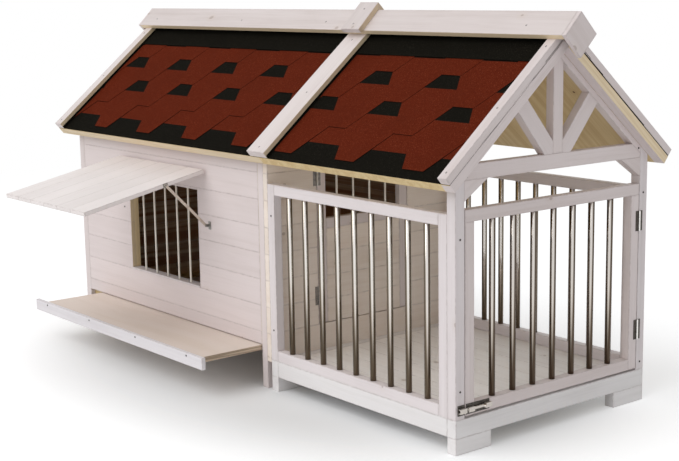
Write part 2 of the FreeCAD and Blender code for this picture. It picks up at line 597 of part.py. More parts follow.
def build_truss():
    """The open gable truss over the front door."""
    back = "(0 - member_thick)"
    roof = under_roof("post", RAFTER_UNDER)
    flat = f"((ridge_height - {RAFTER_UNDER} / {COS} - tie_top) / {TAN})"
    outline = [("post", "tie_bottom"), ("width - post", "tie_bottom"), ("width - post", roof),
               (f"width / 2 + {flat}", "tie_top"), (f"width / 2 - {flat}", "tie_top"), ("post", roof)]
    node("gable_tie_beam", [profile(outline, back, "member_thick")])
    apex = ridge_point(RAFTER_UNDER)
    side = "(king_post_width / 2)"
    outline = [(f"width / 2 - {side}", "tie_top"), (f"width / 2 + {side}", "tie_top"),
               (f"width / 2 + {side}", under_roof(f"(width / 2 + {side})", RAFTER_UNDER)), apex,
               (f"width / 2 - {side}", under_roof(f"(width / 2 - {side})", RAFTER_UNDER))]
    node("gable_king_post", [profile(outline, back, "member_thick")])
    rise = f"({COS} * (ridge_height - {RAFTER_UNDER} / {COS} - {TAN} * strut_foot - tie_top))"
    struts, rafters, knees = [], [], []
    for sign in ("-", "+"):
        def across(offset):
            return f"(width / 2 {sign} ({offset}))"
        outer_y = f"(strut_foot + {rise} * {SIN})"
        outer_z = f"(tie_top + {rise} * {COS})"
        inner_y = f"({outer_y} - strut_width * {COS})"
        inner_z = f"({outer_z} + strut_width * {SIN})"
        drop = f"(({inner_y} - {side}) / {SIN} * {COS})"
        outline = [(across(side), "tie_top"), (across("strut_foot"), "tie_top"), (across(outer_y), outer_z),
                   (across(inner_y), inner_z), (across(side), f"{inner_z} - {drop}")]
        struts.append(profile(outline, back, "member_thick"))
        inner_face = "(width / 2 - post)"
        outline = [ridge_point(DECK_UNDER), (across(inner_face), under_roof("post", DECK_UNDER)),
                   (across(inner_face), under_roof("post", RAFTER_UNDER)), apex]
        rafters.append(profile(outline, back, "member_thick"))
        outline = [(across(inner_face), "tie_bottom"), (across(f"{inner_face} - knee_reach"), "tie_bottom"),
                   (across(inner_face), "tie_bottom - knee_drop")]
        knees.append(profile(outline, back, "member_thick"))
    node("gable_struts", struts)
    node("gable_rafters", rafters)
    node("gable_knee_blocks", knees)


def build_inner_door():
    """The door in the partition, with a barred window over boards, opening into the pen."""
    x = "(0 - pen_length - inner_door_thick)"
    near = "(doorway_left + door_gap)"
    wide = "(doorway_width - 2 * door_gap)"
    bottom = f"({seam(FIRST_DOORWAY_ROW)} + door_gap)"
    top = f"({seam(FIRST_DOORWAY_ROW + ROWS_BESIDE_DOORWAY)} - door_gap)"
    inside = f"({wide} - 2 * member)"
    stiles = [box(x, y, bottom, "inner_door_thick", "member", f"{top} - {bottom}")
              for y in (near, f"{near} + {wide} - member")]
    rail_z = "(inner_window_bottom - member)"
    rails = [box(x, f"{near} + member", z, "inner_door_thick", inside, "member") for z in (rail_z, f"{top} - member")]
    node("inner_door_frame", stiles + rails)
    share = f"(({rail_z} - {bottom}) / 4)"
    node("inner_door_boards", [box(x, f"{near} + member", f"{bottom} + {index} * {share}", "inner_door_thick", inside,
                                   share) for index in range(4)])
    node("inner_door_bars", [rod("z", f"{x} + inner_door_thick / 2",
                                 f"{near} + {wide} / 2 + {index - (INNER_BARS - 1) / 2} * inner_bar_pitch",
                                 "inner_window_bottom", "grille_radius", f"{top} - member - inner_window_bottom")
                             for index in range(INNER_BARS)])
    axis_y = "(doorway_left + door_gap / 2)"
    pairs = [upright_hinge("(0 - pen_length)", axis_y, z, 1) for z in ("inner_upper_hinge_z", "inner_lower_hinge_z")]
    node("inner_hinge_wall_leaves", [pair[0] for pair in pairs])
    node("inner_hinge_door_leaves", [pair[1] for pair in pairs])


def build_roof():
    """Decks, shingle sheets, barge boards, joint battens, ridge cap, saddle and end plates."""
    joint_left = f"({ROOF_JOINT} - joint_batten_width / 2)"
    joint_right = f"({ROOF_JOINT} + joint_batten_width / 2)"
    bays = (("house", ROOF_LEFT, f"{ROOF_JOINT} - {ROOF_LEFT}"), ("pen", ROOF_JOINT, f"door_overhang - {ROOF_JOINT}"))
    for bay, x, length in bays:
        node(f"{bay}_roof_decks", [slope_layer(side, DECK_TOP, DECK_UNDER, x, length) for side in (-1, 1)])
        node(f"{bay}_shingles", [slope_layer(side, SHINGLE_TOP, DECK_TOP, x, length) for side in (-1, 1)])
    covers = (("door_end_barge_boards", "door_overhang - door_barge_width", "door_barge_width"),
              ("left_end_barge_boards", ROOF_LEFT, "barge_width"),
              ("roof_joint_battens", joint_left, f"{joint_right} - {joint_left}"))
    for label, x, length in covers:
        node(label, [slope_layer(side, "0", "barge_thick", x, length) for side in (-1, 1)])

    def ridge_board(sign, apex, board, x, length):
        outer = f"({board} * {HALF})"
        inner = f"(({board} - cap_thick) * {HALF})"
        outline = [("width / 2", apex), (f"width / 2 {sign} {outer}", f"{apex} - {outer}"),
                   (f"width / 2 {sign} {inner}", f"{apex} - {outer} - cap_thick * {HALF}"),
                   ("width / 2", f"{apex} - 2 * cap_thick * {HALF}")]
        return profile(outline, x, length)

    cap_left = f"({ROOF_LEFT} - cap_overhang + end_plate_thick)"
    cap_right = "(door_overhang + door_cap_overhang - end_plate_thick)"
    node("ridge_cap_boards", [ridge_board(sign, CAP_APEX, "cap_board", cap_left, f"{cap_right} - {cap_left}")
                              for sign in ("-", "+")])
    node("ridge_saddle_boards", [ridge_board(sign, SADDLE_APEX, "saddle_board", joint_left, "joint_batten_width")
                                 for sign in ("-", "+")])
    reach = f"(cap_board * {HALF})"
    diamond = [("width / 2", CAP_APEX), (f"width / 2 - {reach}", f"{CAP_APEX} - {reach}"),
               ("width / 2", f"{CAP_APEX} - 2 * {reach}"), (f"width / 2 + {reach}", f"{CAP_APEX} - {reach}")]
    node("ridge_end_plates", [profile(diamond, x, "end_plate_thick")
                              for x in (f"{ROOF_LEFT} - cap_overhang", cap_right)])


def build_screws():
    """Screw heads that show on the posts, the truss, the side panel and the window wall."""
    middle = "(post / 2)"
    heads = [rod("x", "0", middle, z, "screw_radius", "screw_proud")
             for z in ("0.9 * panel_top", "1.8 * (foot_height + skirt_height)")]
    heads += [rod("x", "0", f"width - {middle}", z, "screw_radius", "screw_proud")
              for z in ("panel_top - post / 2", "1.25 * (foot_height + skirt_height)")]
    heads.append(rod("x", "0", "post + screw_radius * 2.5", "tie_bottom + screw_radius * 3", "screw_radius",
                     "screw_proud"))
    heads.append(rod("x", "0", "width - post - screw_radius * 2.5", "tie_top - screw_radius * 4", "screw_radius",
                     "screw_proud"))
    stile = "(member / 2 - pen_length)"
    for z in ("0.85 * panel_top", "2 * (foot_height + skirt_height)"):
        heads.append(rod("y", stile, "0 - screw_proud", z, "screw_radius", "screw_proud"))
    heads.append(rod("y", f"{WINDOW_LEFT} - 3 * jamb_thick", "0 - screw_proud", "window_bottom + 0.66 * window_height",
                     "screw_radius", "screw_proud"))
    node("frame_screws", heads)


build_posts()
build_long_walls()
build_end_walls()
build_window()
build_tray()
build_flap()
build_flap_hinges()
build_stay()
build_pen_base()
build_side_panels()
build_front_door()
build_latch()
build_truss()
build_inner_door()
build_roof()
build_screws()
doc.recompute()

faults = [item.Name for item in doc.Objects if {"Invalid", "Error"} & set(item.State)]
faults += [item.Label for item in nodes if item.Shape.isNull() or not item.Shape.isValid()]
if faults:
    raise RuntimeError(f"these objects failed: {faults}")

os.makedirs("parts", exist_ok=True)
for item in nodes:
    item.Shape.exportStep(f"parts/{item.Label}.step")
print(f"{len(nodes)} nodes, {sum(len(item.Shape.Solids) for item in nodes)} solids")
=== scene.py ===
import json
import math
import random

import bmesh
import bpy
from mathutils import Matrix, Vector

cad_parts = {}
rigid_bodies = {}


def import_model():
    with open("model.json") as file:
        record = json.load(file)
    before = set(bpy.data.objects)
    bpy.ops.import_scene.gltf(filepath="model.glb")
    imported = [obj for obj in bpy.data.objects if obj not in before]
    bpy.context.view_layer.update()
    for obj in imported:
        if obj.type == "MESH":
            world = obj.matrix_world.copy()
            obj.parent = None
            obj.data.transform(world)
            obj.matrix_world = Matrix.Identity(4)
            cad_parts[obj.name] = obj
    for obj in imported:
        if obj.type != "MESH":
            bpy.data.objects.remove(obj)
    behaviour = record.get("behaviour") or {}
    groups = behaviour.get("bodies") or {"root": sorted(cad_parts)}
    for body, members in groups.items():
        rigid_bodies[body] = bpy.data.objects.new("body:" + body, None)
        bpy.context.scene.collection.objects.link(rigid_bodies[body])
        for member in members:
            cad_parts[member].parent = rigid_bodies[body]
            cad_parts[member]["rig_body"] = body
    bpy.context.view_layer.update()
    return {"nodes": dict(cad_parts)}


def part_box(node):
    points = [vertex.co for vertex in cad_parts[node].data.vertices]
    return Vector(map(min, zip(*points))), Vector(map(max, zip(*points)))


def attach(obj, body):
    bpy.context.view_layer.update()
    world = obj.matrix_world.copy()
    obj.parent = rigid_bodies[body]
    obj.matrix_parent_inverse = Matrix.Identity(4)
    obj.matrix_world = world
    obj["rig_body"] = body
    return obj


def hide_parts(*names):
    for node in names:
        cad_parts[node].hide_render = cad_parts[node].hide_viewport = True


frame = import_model()
NODES = frame["nodes"]

MM = 0.001
SEED = 11
PLACES_PER_METRE = 1e5
FLAT_ANGLE = math.radians(0.5)
WELD_DISTANCE = 0.01 * MM

# Picture and camera
PICTURE_WIDTH = 679
PICTURE_HEIGHT = 461
SENSOR_WIDTH = 36.0
FOCAL_PIXELS = 1367.95
AXIS_PIXEL = (378.2, 234.0)
CAMERA_PLACE = (3.2343, -2.34678, 1.1170)
CAMERA_YAW = 0.874257
CAMERA_PITCH = 0.177602
CAMERA_ROLL = -0.011898

# Light
SKY_STRENGTH = 0.57
SUN_STRENGTH = 1.34
SUN_TOWARDS = (-0.16, -0.72, 0.67)
SUN_ANGLE = math.radians(60)
FLOOR_WIDTH = 120.0
FLOOR_NEAR = 1.6
FLOOR_FAR = 5.0
FLOOR_LIFT = 0.36
FLOOR_COLOUR = (0.88, 0.89, 0.90, 1)
# Painted shade: the floor's glow for camera and glossy rays fades in only outside this scaled reach of the object's
# footprint, so the floor under and around the object is left darker.
FOOTPRINT_SCALE = (0.75, 1.25, 0.0)
LIFT_FROM = 0.45
LIFT_FULL = 1.0
SKY_COLOUR = (1.0, 0.995, 0.99, 1)

# Roof covering, along the slope from the barge boards' apex
ROOF_SLOPE = math.radians(40)
APEX_HEIGHT = 1.0295
APEX_ACROSS = 0.350 - 0.1790945
DECK_DEPTH = 22 * MM
EAVE_RUN = 535 * MM
TAB_PITCH = 262 * MM
TAB_BOTTOM = 75 * MM
NOTCH_TOP = 70 * MM
COURSE_STEP = 108 * MM
FIRST_NOTCH = 75 * MM
BLACK_BAND = 49 * MM
COURSES = 4
STRIP_THICK = 1.6 * MM
STRIP_LAP = 60 * MM
RIDGE_FELT_END = 122 * MM
STARTER_TOP = 395 * MM
STARTER_BLACK = 458 * MM
FELT_TOP = 10 * MM
UPSTAND_HEIGHT = 10 * MM
UPSTAND_THICK = 1.5 * MM
EAVE_INSET = 1 * MM
BAY_INSET = 0.5 * MM
TILT_START = 0.15
TILT_RISE = 1.15
FELT_LIFT = 2.6
RED, BLACK, PAINTED = 0, 1, 2

# Edges
BOARD_EDGE = 1.1 * MM
PLANK_EDGE = 1.0 * MM
METAL_EDGE = 0.25 * MM
EASED_ANGLE = math.radians(35)
EDGE_SEGMENTS = 2
BAR_SIDES = 32
BAR_EASE = 0.5 * MM

# Screw heads
HEAD_RINGS = 8
HEAD_DEPTH = 1.5 * MM
HEAD_SIZE = 0.86
HEAD_CROWN = 0.12 * MM
ROOF_HEAD = 2.7 * MM
RECESS_DEPTH = 1.1 * MM
RECESS_WIDE = 0.17
RECESS_LONG = 0.66
HEAD_TAPER = 0.6
ROUND_CORNERS = 8
# Down the slope from the apex, and as shares of the cap's length and of its reach to either side
BATTEN_SCREW_RUNS = (85 * MM, 300 * MM, 515 * MM)
CAP_SCREW_INSETS = (0.04, 0.3, 0.52, 0.93)
CAP_SCREW_REACHES = (0.62,)
SADDLE_SCREW_INSETS = (0.5,)
SADDLE_SCREW_REACHES = (0.25, 0.8)

ALONG, SIDE, MIDDLE, HALF, BOARD_SEED = "board_along", "board_side", "board_middle", "board_half", "board_seed"


def tint(red, green, blue):
    """A colour written as it shows on a screen, as linear light."""
    def linear(value):
        value /= 255
        return value / 12.92 if value <= 0.04045 else ((value + 0.055) / 1.055) ** 2.4
    return (linear(red), linear(green), linear(blue), 1.0)


# ---------------------------------------------------------------- materials

# Knots: one at most to a stretch of board this long and wide. Growth lines to a metre across the grain
KNOT_ALONG = 0.36
KNOT_ACROSS = 0.10
GROWTH_LINES = 230.0
# How far in from a board's ends, sides and faces its rubbed edge reaches
RUB_REACH = (0.006, 0.0035, 0.0035)
RUB_FULL = 0.0003
# Steps through the noise from one board to the next
SEED_STEPS = (5.3, 1.7, 0.9)
GRIT_SCALE = 620.0
GRIT_ROUGHNESS = 0.93


class Shade:
    """One material's node tree, with its arithmetic as calls."""

    def __init__(self, name):
        self.material = bpy.data.materials.new(name)
        self.material.use_nodes = True
        self.tree = self.material.node_tree
        self.tree.nodes.clear()
        self.out = self.node("ShaderNodeOutputMaterial")

    def node(self, kind, **settings):
        made = self.tree.nodes.new(kind)
        for key, value in settings.items():
            setattr(made, key, value)
        return made

    def put(self, socket, value):
        if isinstance(value, bpy.types.NodeSocket):
            self.tree.links.new(value, socket)
        elif value is not None:
            socket.default_value = value

    def math(self, operation, a, b=None, c=None, clamp=False):
        made = self.node("ShaderNodeMath", operation=operation, use_clamp=clamp)
        for socket, value in zip(made.inputs, (a, b, c)):
            self.put(socket, value)
        return made.outputs[0]

    def vector(self, operation, a, b=None):
        made = self.node("ShaderNodeVectorMath", operation=operation)
        self.put(made.inputs[0], a)
        if b is not None:
            self.put(made.inputs["Scale"] if operation == "SCALE" else made.inputs[1], b)
        return made.outputs["Value"] if operation in ("DOT_PRODUCT", "LENGTH") else made.outputs[0]

    def spread(self, value, low, high, to_low=0.0, to_high=1.0):
        made = self.node("ShaderNodeMapRange", interpolation_type="SMOOTHSTEP")
        for socket, given in zip(made.inputs, (value, low, high, to_low, to_high)):
            self.put(socket, given)
        return made.outputs[0]

    def noise(self, vector, scale, detail=3.0, roughness=0.55, distortion=0.0):
        made = self.node("ShaderNodeTexNoise")
        self.put(made.inputs["Vector"], vector)
        for key, value in (("Scale", scale), ("Detail", detail), ("Roughness", roughness),
                           ("Distortion", distortion)):
            made.inputs[key].default_value = value
        return made.outputs[0]

    def mix(self, factor, a, b, blend="MIX"):
        made = self.node("ShaderNodeMix", data_type="RGBA", blend_type=blend)
        self.put(made.inputs["Factor"], factor)
        self.put(made.inputs["A"], a)
        self.put(made.inputs["B"], b)
        return made.outputs["Result"]

    def attribute(self, name, output="Vector"):
        return self.node("ShaderNodeAttribute", attribute_name=name).outputs[output]

    def scaled(self, vector, by):
        return self.vector("MULTIPLY", vector, by)

    def surface(self, colour, roughness, height=None, depth=0.001, metallic=0.0, specular=0.5, **more):
        shader = self.node("ShaderNodeBsdfPrincipled")
        self.put(shader.inputs["Base Color"], colour)
        self.put(shader.inputs["Roughness"], roughness)
        shader.inputs["Metallic"].default_value = metallic
        shader.inputs["Specular IOR Level"].default_value = specular
        for key, value in more.items():
            shader.inputs[key].default_value = value
        if height is not None:
            bump = self.node("ShaderNodeBump")
            bump.inputs["Strength"].default_value = 1.0
            bump.inputs["Distance"].default_value = depth
            self.put(bump.inputs["Height"], height)
            self.put(shader.inputs["Normal"], bump.outputs[0])
        self.put(self.out.inputs["Surface"], shader.outputs[0])
        return self.material


def board_space(shade):
    """Where a point is on its board: its place along, across and through it, and how near an edge it is."""
    point = shade.node("ShaderNodeTexCoord").outputs["Object"]
    away = shade.vector("SUBTRACT", point, shade.attribute(MIDDLE))
    along, side = shade.attribute(ALONG), shade.attribute(SIDE)
    through = shade.vector("CROSS_PRODUCT", along, side)
    parts = [shade.vector("DOT_PRODUCT", away, axis) for axis in (along, side, through)]
    seed = shade.attribute(BOARD_SEED, "Fac")
    halves = shade.node("ShaderNodeSeparateXYZ")
    shade.put(halves.inputs[0], shade.attribute(HALF))
    nearness = []
    for part, half, reach in zip(parts, halves.outputs, RUB_REACH):
        size = shade.math("ABSOLUTE", part)
        nearness.append(shade.spread(shade.math("SUBTRACT", half, size), reach, RUB_FULL))
    total = shade.math("ADD", shade.math("ADD", nearness[0], nearness[1]), nearness[2])
    edge = shade.math("SUBTRACT", total, 1.0, clamp=True)
    joined = shade.node("ShaderNodeCombineXYZ")
    for socket, part, step in zip(joined.inputs, parts, SEED_STEPS):
        shade.put(socket, shade.math("MULTIPLY_ADD", seed, step, part))
    return joined.outputs[0], edge, seed


def knots(shade, place, share=0.5):
    """Round knots, one at most to each stretch of board, and how far a point is from the nearest."""
    cell = shade.scaled(place, (1 / KNOT_ALONG, 1 / KNOT_ACROSS, 0.0))
    found = shade.node("ShaderNodeTexVoronoi", voronoi_dimensions="2D")
    shade.put(found.inputs["Vector"], cell)
    found.inputs["Scale"].default_value = 1.0
    centre = shade.scaled(found.outputs["Position"], (KNOT_ALONG, KNOT_ACROSS, 0.0))
    away = shade.vector("SUBTRACT", shade.scaled(place, (1.0, 1.0, 0.0)), centre)
    wobble = shade.noise(place, 90, 2.0)
    distance = shade.math("MULTIPLY_ADD", shade.math("SUBTRACT", wobble, 0.5), 0.004,
                          shade.vector("LENGTH", shade.scaled(away, (0.75, 1.0, 0.0))))
    draw = shade.node("ShaderNodeSeparateColor")
    shade.put(draw.inputs[0], found.outputs["Color"])
    there = shade.math("GREATER_THAN", draw.outputs[0], 1.0 - share)
    radius = shade.math("MULTIPLY_ADD", draw.outputs[1], 0.005, 0.0025)
    core = shade.math("MULTIPLY", there, shade.spread(shade.math("SUBTRACT", distance, radius), 0.0012, -0.0006))
    halo = shade.math("MULTIPLY", there, shade.spread(shade.math("SUBTRACT", distance, radius), 0.016, 0.0))
    return core, halo, away


def grain(shade, place, halo, away):
    """Growth lines that run along the board and bend round its knots, with slow bands of colour."""
    parts = shade.node("ShaderNodeSeparateXYZ")
    shade.put(parts.inputs[0], away)
    push = shade.math("MULTIPLY", shade.math("MULTIPLY", parts.outputs[1], halo), -0.6)
    drift = shade.noise(shade.scaled(place, (2.2, 9.0, 9.0)), 1.0, 2.0)
    push = shade.math("MULTIPLY_ADD", drift, 0.022, push)
    moved = shade.node("ShaderNodeCombineXYZ")
    shade.put(moved.inputs[1], push)
    bent = shade.vector("ADD", place, moved.outputs[0])
    fine = shade.noise(shade.scaled(bent, (5.0, GROWTH_LINES, GROWTH_LINES)), 1.0, 4.0, 0.65)
    bands = shade.noise(shade.scaled(bent, (1.1, 48.0, 48.0)), 1.0, 3.0, 0.5)
    return fine, bands


def flat_face(shade):
    """1 on a board's wide faces and 0 on its narrow sides."""
    normal = shade.node("ShaderNodeNewGeometry").outputs["Normal"]
    across = shade.math("ABSOLUTE", shade.vector("DOT_PRODUCT", normal, shade.attribute(SIDE)))
    return shade.spread(across, 0.75, 0.5), normal


def pine(name, light, dark, knot, side=None, painted=None, roughness=0.62):
    """Bare planed pine: orange-brown growth lines, knots and paler sawn sides, with painted faces if asked."""
    shade = Shade(name)
    place, edge, seed = board_space(shade)
    core, halo, away = knots(shade, place)
    flat, normal = flat_face(shade)
    core, halo = shade.math("MULTIPLY", core, flat), shade.math("MULTIPLY", halo, flat)
    fine, bands = grain(shade, place, halo, away)
    lines = shade.spread(bands, 0.38, 0.66)
    colour = shade.mix(shade.math("MULTIPLY", lines, 0.55), light, dark)
    colour = shade.mix(shade.math("MULTIPLY", shade.spread(fine, 0.42, 0.68), 0.30), colour, dark)
    colour = shade.mix(shade.math("MULTIPLY", halo, 0.35), colour, dark)
    colour = shade.mix(core, colour, knot)
    if side:
        sawn = shade.mix(shade.math("MULTIPLY", shade.spread(fine, 0.40, 0.66), 0.35), side, dark)
        colour = shade.mix(flat, sawn, colour)
    shift = shade.node("ShaderNodeHueSaturation")
    shade.put(shift.inputs["Value"], shade.spread(seed, 0.0, 1.0, 0.94, 1.04))
    shade.put(shift.inputs["Color"], colour)
    colour = shade.mix(shade.math("MULTIPLY", edge, 0.15), shift.outputs[0], dark)
    if painted:
        paint, thin, front, ridge = painted
        coat = shade.mix(shade.math("MULTIPLY", shade.spread(fine, 0.45, 0.7), 0.5), paint, thin)
        spot = shade.node("ShaderNodeSeparateXYZ")
        shade.put(spot.inputs[0], shade.node("ShaderNodeTexCoord").outputs["Object"])
        turned = shade.node("ShaderNodeSeparateXYZ")
        shade.put(turned.inputs[0], normal)
        near = shade.math("LESS_THAN", spot.outputs[1], ridge)
        at_end = shade.math("MULTIPLY", shade.math("GREATER_THAN", turned.outputs[0], 0.35), near)
        below = shade.math("MULTIPLY", shade.math("LESS_THAN", turned.outputs[2], -0.6),
                           shade.math("GREATER_THAN", spot.outputs[0], front))
        colour = shade.mix(shade.math("MAXIMUM", at_end, below), colour, coat)
    height = shade.math("MULTIPLY_ADD", fine, 0.5, shade.math("MULTIPLY", core, -0.5))
    return shade.surface(colour, shade.spread(fine, 0.3, 0.7, roughness - 0.08, roughness + 0.1),
                         height, 0.0005, specular=0.25)


def washed(name, paint, thin, wood, knot, bare_side=None, bare=None, narrow_bare=False, roughness=0.46, knotty=0.3,
           cut_ends=None, streaky=1.0):
    """Pine under a thin pale wash: brush streaks, grain that just shows, knots bleeding through and rubbed edges.
    The wash was put on from outside: a face towards bare_side, or a board's narrow sides, may have none."""
    shade = Shade(name)
    place, edge, seed = board_space(shade)
    core, halo, away = knots(shade, place, share=knotty)
    flat, facing = flat_face(shade)
    core, halo = shade.math("MULTIPLY", core, flat), shade.math("MULTIPLY", halo, flat)
    fine, bands = grain(shade, place, halo, away)
    patches = shade.noise(shade.scaled(place, (3.0, 11.0, 11.0)), 1.0, 4.0, 0.6)
    streaks = shade.noise(shade.scaled(place, (9.0, 420.0, 420.0)), 1.0, 2.0)
    worn = shade.math("MULTIPLY", shade.spread(patches, 0.40, 0.72), 0.34)
    worn = shade.math("MULTIPLY_ADD", shade.spread(bands, 0.45, 0.72), 0.34, worn)
    worn = shade.math("MULTIPLY_ADD", shade.spread(fine, 0.50, 0.72), 0.26, worn)
    worn = shade.math("MULTIPLY_ADD", shade.spread(streaks, 0.5, 0.75), 0.14, worn)
    worn = shade.math("MULTIPLY", worn, streaky)
    colour = shade.mix(worn, paint, thin)
    colour = shade.mix(shade.math("MULTIPLY", halo, 0.10), colour, wood)
    colour = shade.mix(shade.math("MULTIPLY", core, 0.40), colour, knot)
    rub = shade.math("MULTIPLY", edge, shade.spread(shade.noise(place, 60, 3.0), 0.38, 0.62, 0.10, 0.45))
    colour = shade.mix(rub, colour, RUBBED)
    shift = shade.node("ShaderNodeHueSaturation")
    shade.put(shift.inputs["Value"], shade.spread(seed, 0.0, 1.0, 0.965, 1.02))
    raw = shade.mix(shade.spread(bands, 0.38, 0.66, 0.0, 0.8), bare or wood, wood)
    if bare_side:
        turned = shade.math("GREATER_THAN", shade.vector("DOT_PRODUCT", facing, bare_side), 0.5)
        colour = shade.mix(turned, colour, raw)
    if narrow_bare:
        colour = shade.mix(shade.math("MULTIPLY", shade.math("SUBTRACT", 1.0, flat), 0.85), colour, raw)
    if cut_ends:
        lengthwise = shade.vector("DOT_PRODUCT", facing, shade.attribute(ALONG))
        turned = shade.math("GREATER_THAN", shade.math("ABSOLUTE", lengthwise), 0.8)
        colour = shade.mix(turned, colour, cut_ends)
    shade.put(shift.inputs["Color"], colour)
    height = shade.math("MULTIPLY_ADD", streaks, 0.25, shade.math("MULTIPLY", fine, 0.6))
    return shade.surface(shift.outputs[0], shade.spread(streaks, 0.3, 0.7, roughness - 0.07, roughness + 0.1),
                         height, 0.00035, specular=0.5)


def granules(name, colours):
    """Mineral grit pressed into bitumen: every grain takes its own shade of the strip's colour."""
    shade = Shade(name)
    point = shade.node("ShaderNodeTexCoord").outputs["Object"]
    grit = shade.node("ShaderNodeTexVoronoi")
    shade.put(grit.inputs["Vector"], point)
    grit.inputs["Scale"].default_value = GRIT_SCALE
    draw = shade.node("ShaderNodeSeparateColor")
    shade.put(draw.inputs[0], grit.outputs["Color"])
    colour = shade.mix(draw.outputs[0], colours[0], colours[1])
    colour = shade.mix(shade.math("GREATER_THAN", draw.outputs[1], 0.93), colour, colours[2])
    cloud = shade.noise(point, 9.0, 4.0, 0.6)
    colour = shade.mix(shade.spread(cloud, 0.40, 0.66, 0.0, 0.38), colour, colours[3])
    height = shade.math("SUBTRACT", 1.0, grit.outputs["Distance"])
    return shade.surface(colour, GRIT_ROUGHNESS, height, 0.0006, specular=0.02)


def steel(name, base, dark, roughness):
    """Plated metal: fine pitting, a few dull spots and darker blotches."""
    shade = Shade(name)
    point = shade.node("ShaderNodeTexCoord").outputs["Object"]
    pits = shade.noise(shade.scaled(point, (900.0, 900.0, 900.0)), 1.0, 2.0)
    blotch = shade.noise(point, 45.0, 4.0, 0.65)
    colour = shade.mix(shade.spread(blotch, 0.45, 0.70, 0.0, 0.6), base, dark)
    rough = shade.math("MULTIPLY_ADD", pits, 0.12, roughness - 0.06)
    return shade.surface(colour, rough, pits, 0.00004, metallic=1.0)


def tube_steel(name, base, low, painted_rim_and_dull_spots, roughness):
    """Polished drawn tube: a bright core, a dark rim at a glancing angle that is a painted reflection of dark
    surroundings, and darker towards its foot.
    """
    shade = Shade(name)
    point = shade.node("ShaderNodeTexCoord").outputs["Object"]
    lines = shade.noise(shade.scaled(point, (1400.0, 1400.0, 8.0)), 1.0, 2.0)
    dull = shade.noise(shade.scaled(point, (30.0, 30.0, 5.0)), 1.0, 3.0, 0.5)
    place = shade.node("ShaderNodeSeparateXYZ")
    shade.put(place.inputs[0], point)
    glance = shade.node("ShaderNodeLayerWeight")
    glance.inputs["Blend"].default_value = 0.5
    # Painted reflection: the base colour darkens towards the glancing rim.
    painted_rim_mask = shade.spread(glance.outputs["Facing"], 0.015, 0.19)
    core = shade.mix(shade.spread(place.outputs[2], 0.46, 0.20), base, low)
    colour = shade.mix(painted_rim_mask, core, painted_rim_and_dull_spots)
    # Random dull spots take the rim's dark colour too.
    colour = shade.mix(shade.spread(dull, 0.50, 0.75, 0.0, 0.12), colour, painted_rim_and_dull_spots)
    rough = shade.math("MULTIPLY_ADD", lines, 0.08, roughness - 0.04)
    return shade.surface(colour, rough, lines, 0.00003, metallic=1.0)


def hinge_metal(name, leaf, leaf_dark, knuckle, face, clear=0.0022):
    """A plated hinge: dark blotched leaves and a much brighter knuckle, which stands out from the wall's face along X.
    """
    shade = Shade(name)
    point = shade.node("ShaderNodeTexCoord").outputs["Object"]
    blotch = shade.noise(point, 120.0, 4.0, 0.65)
    place = shade.node("ShaderNodeSeparateXYZ")
    shade.put(place.inputs[0], point)
    out = shade.spread(place.outputs[0], face + clear, face + clear + 0.0006)
    colour = shade.mix(shade.spread(blotch, 0.42, 0.66, 0.0, 0.8), leaf, leaf_dark)
    colour = shade.mix(out, colour, knuckle)
    rough = shade.spread(blotch, 0.3, 0.7, 0.38, 0.5)
    return shade.surface(colour, rough, blotch, 0.0001, metallic=1.0)


def enamel(name, base, dusty, roughness=0.42):
    """Thin brushed-on gloss: slight brush ridges and random patches of dust."""
    shade = Shade(name)
    point = shade.node("ShaderNodeTexCoord").outputs["Object"]
    ridges = shade.noise(shade.scaled(point, (240.0, 240.0, 30.0)), 1.0, 3.0)
    dust = shade.noise(point, 30.0, 4.0, 0.6)
    colour = shade.mix(shade.spread(dust, 0.42, 0.70, 0.0, 0.45), base, dusty)
    return shade.surface(colour, shade.math("MULTIPLY_ADD", ridges, 0.15, roughness - 0.07), ridges, 0.0002)


def laminate(name, top, edge_wood, under):
    """The tray's board: a pale sanded face with faint ply figure over darker layered edges."""
    shade = Shade(name)
    place = board_space(shade)[0]
    face = shade.node("ShaderNodeSeparateXYZ")
    shade.put(face.inputs[0], shade.node("ShaderNodeNewGeometry").outputs["Normal"])
    figure = shade.noise(shade.scaled(place, (1.6, 14.0, 200.0)), 1.0, 4.0, 0.55, 0.5)
    pores = shade.noise(shade.scaled(place, (60.0, 700.0, 700.0)), 1.0, 2.0)
    wood = shade.mix(shade.spread(figure, 0.40, 0.70, 0.0, 0.22), top, edge_wood)
    wood = shade.mix(shade.spread(pores, 0.55, 0.78, 0.0, 0.12), wood, under)
    plies = shade.noise(shade.scaled(place, (4.0, 4.0, 330.0)), 1.0, 1.0)
    edges = shade.mix(shade.spread(plies, 0.42, 0.60), edge_wood, under)
    colour = shade.mix(shade.math("GREATER_THAN", shade.math("ABSOLUTE", face.outputs[2]), 0.6), edges, wood)
    return shade.surface(colour, 0.6, figure, 0.0003, specular=0.3)


RUBBED = tint(176, 165, 162)
PAINT, THIN = tint(222, 211, 210), tint(205, 192, 188)
WASH = (PAINT, THIN, tint(196, 172, 142), tint(132, 108, 92))
PINE_TONE = tint(222, 200, 154)
PINE_DARK = tint(198, 168, 118)
PINE_KNOT = tint(112, 74, 42)
SAWN_TONE = tint(234, 216, 186)
# Bare pine on faces inside the house, far darker and browner than bare pine elsewhere: the wood's colour with painted
# shade.
INSIDE_PINE_AND_SHADE = tint(138, 88, 50)
TRUSS_FRONT = 0.925
PARTITION_FACE = TRUSS_FRONT - 0.758
STAINS = WASH[2:]
WHITE_WASH = washed("white_washed_pine", *WASH)
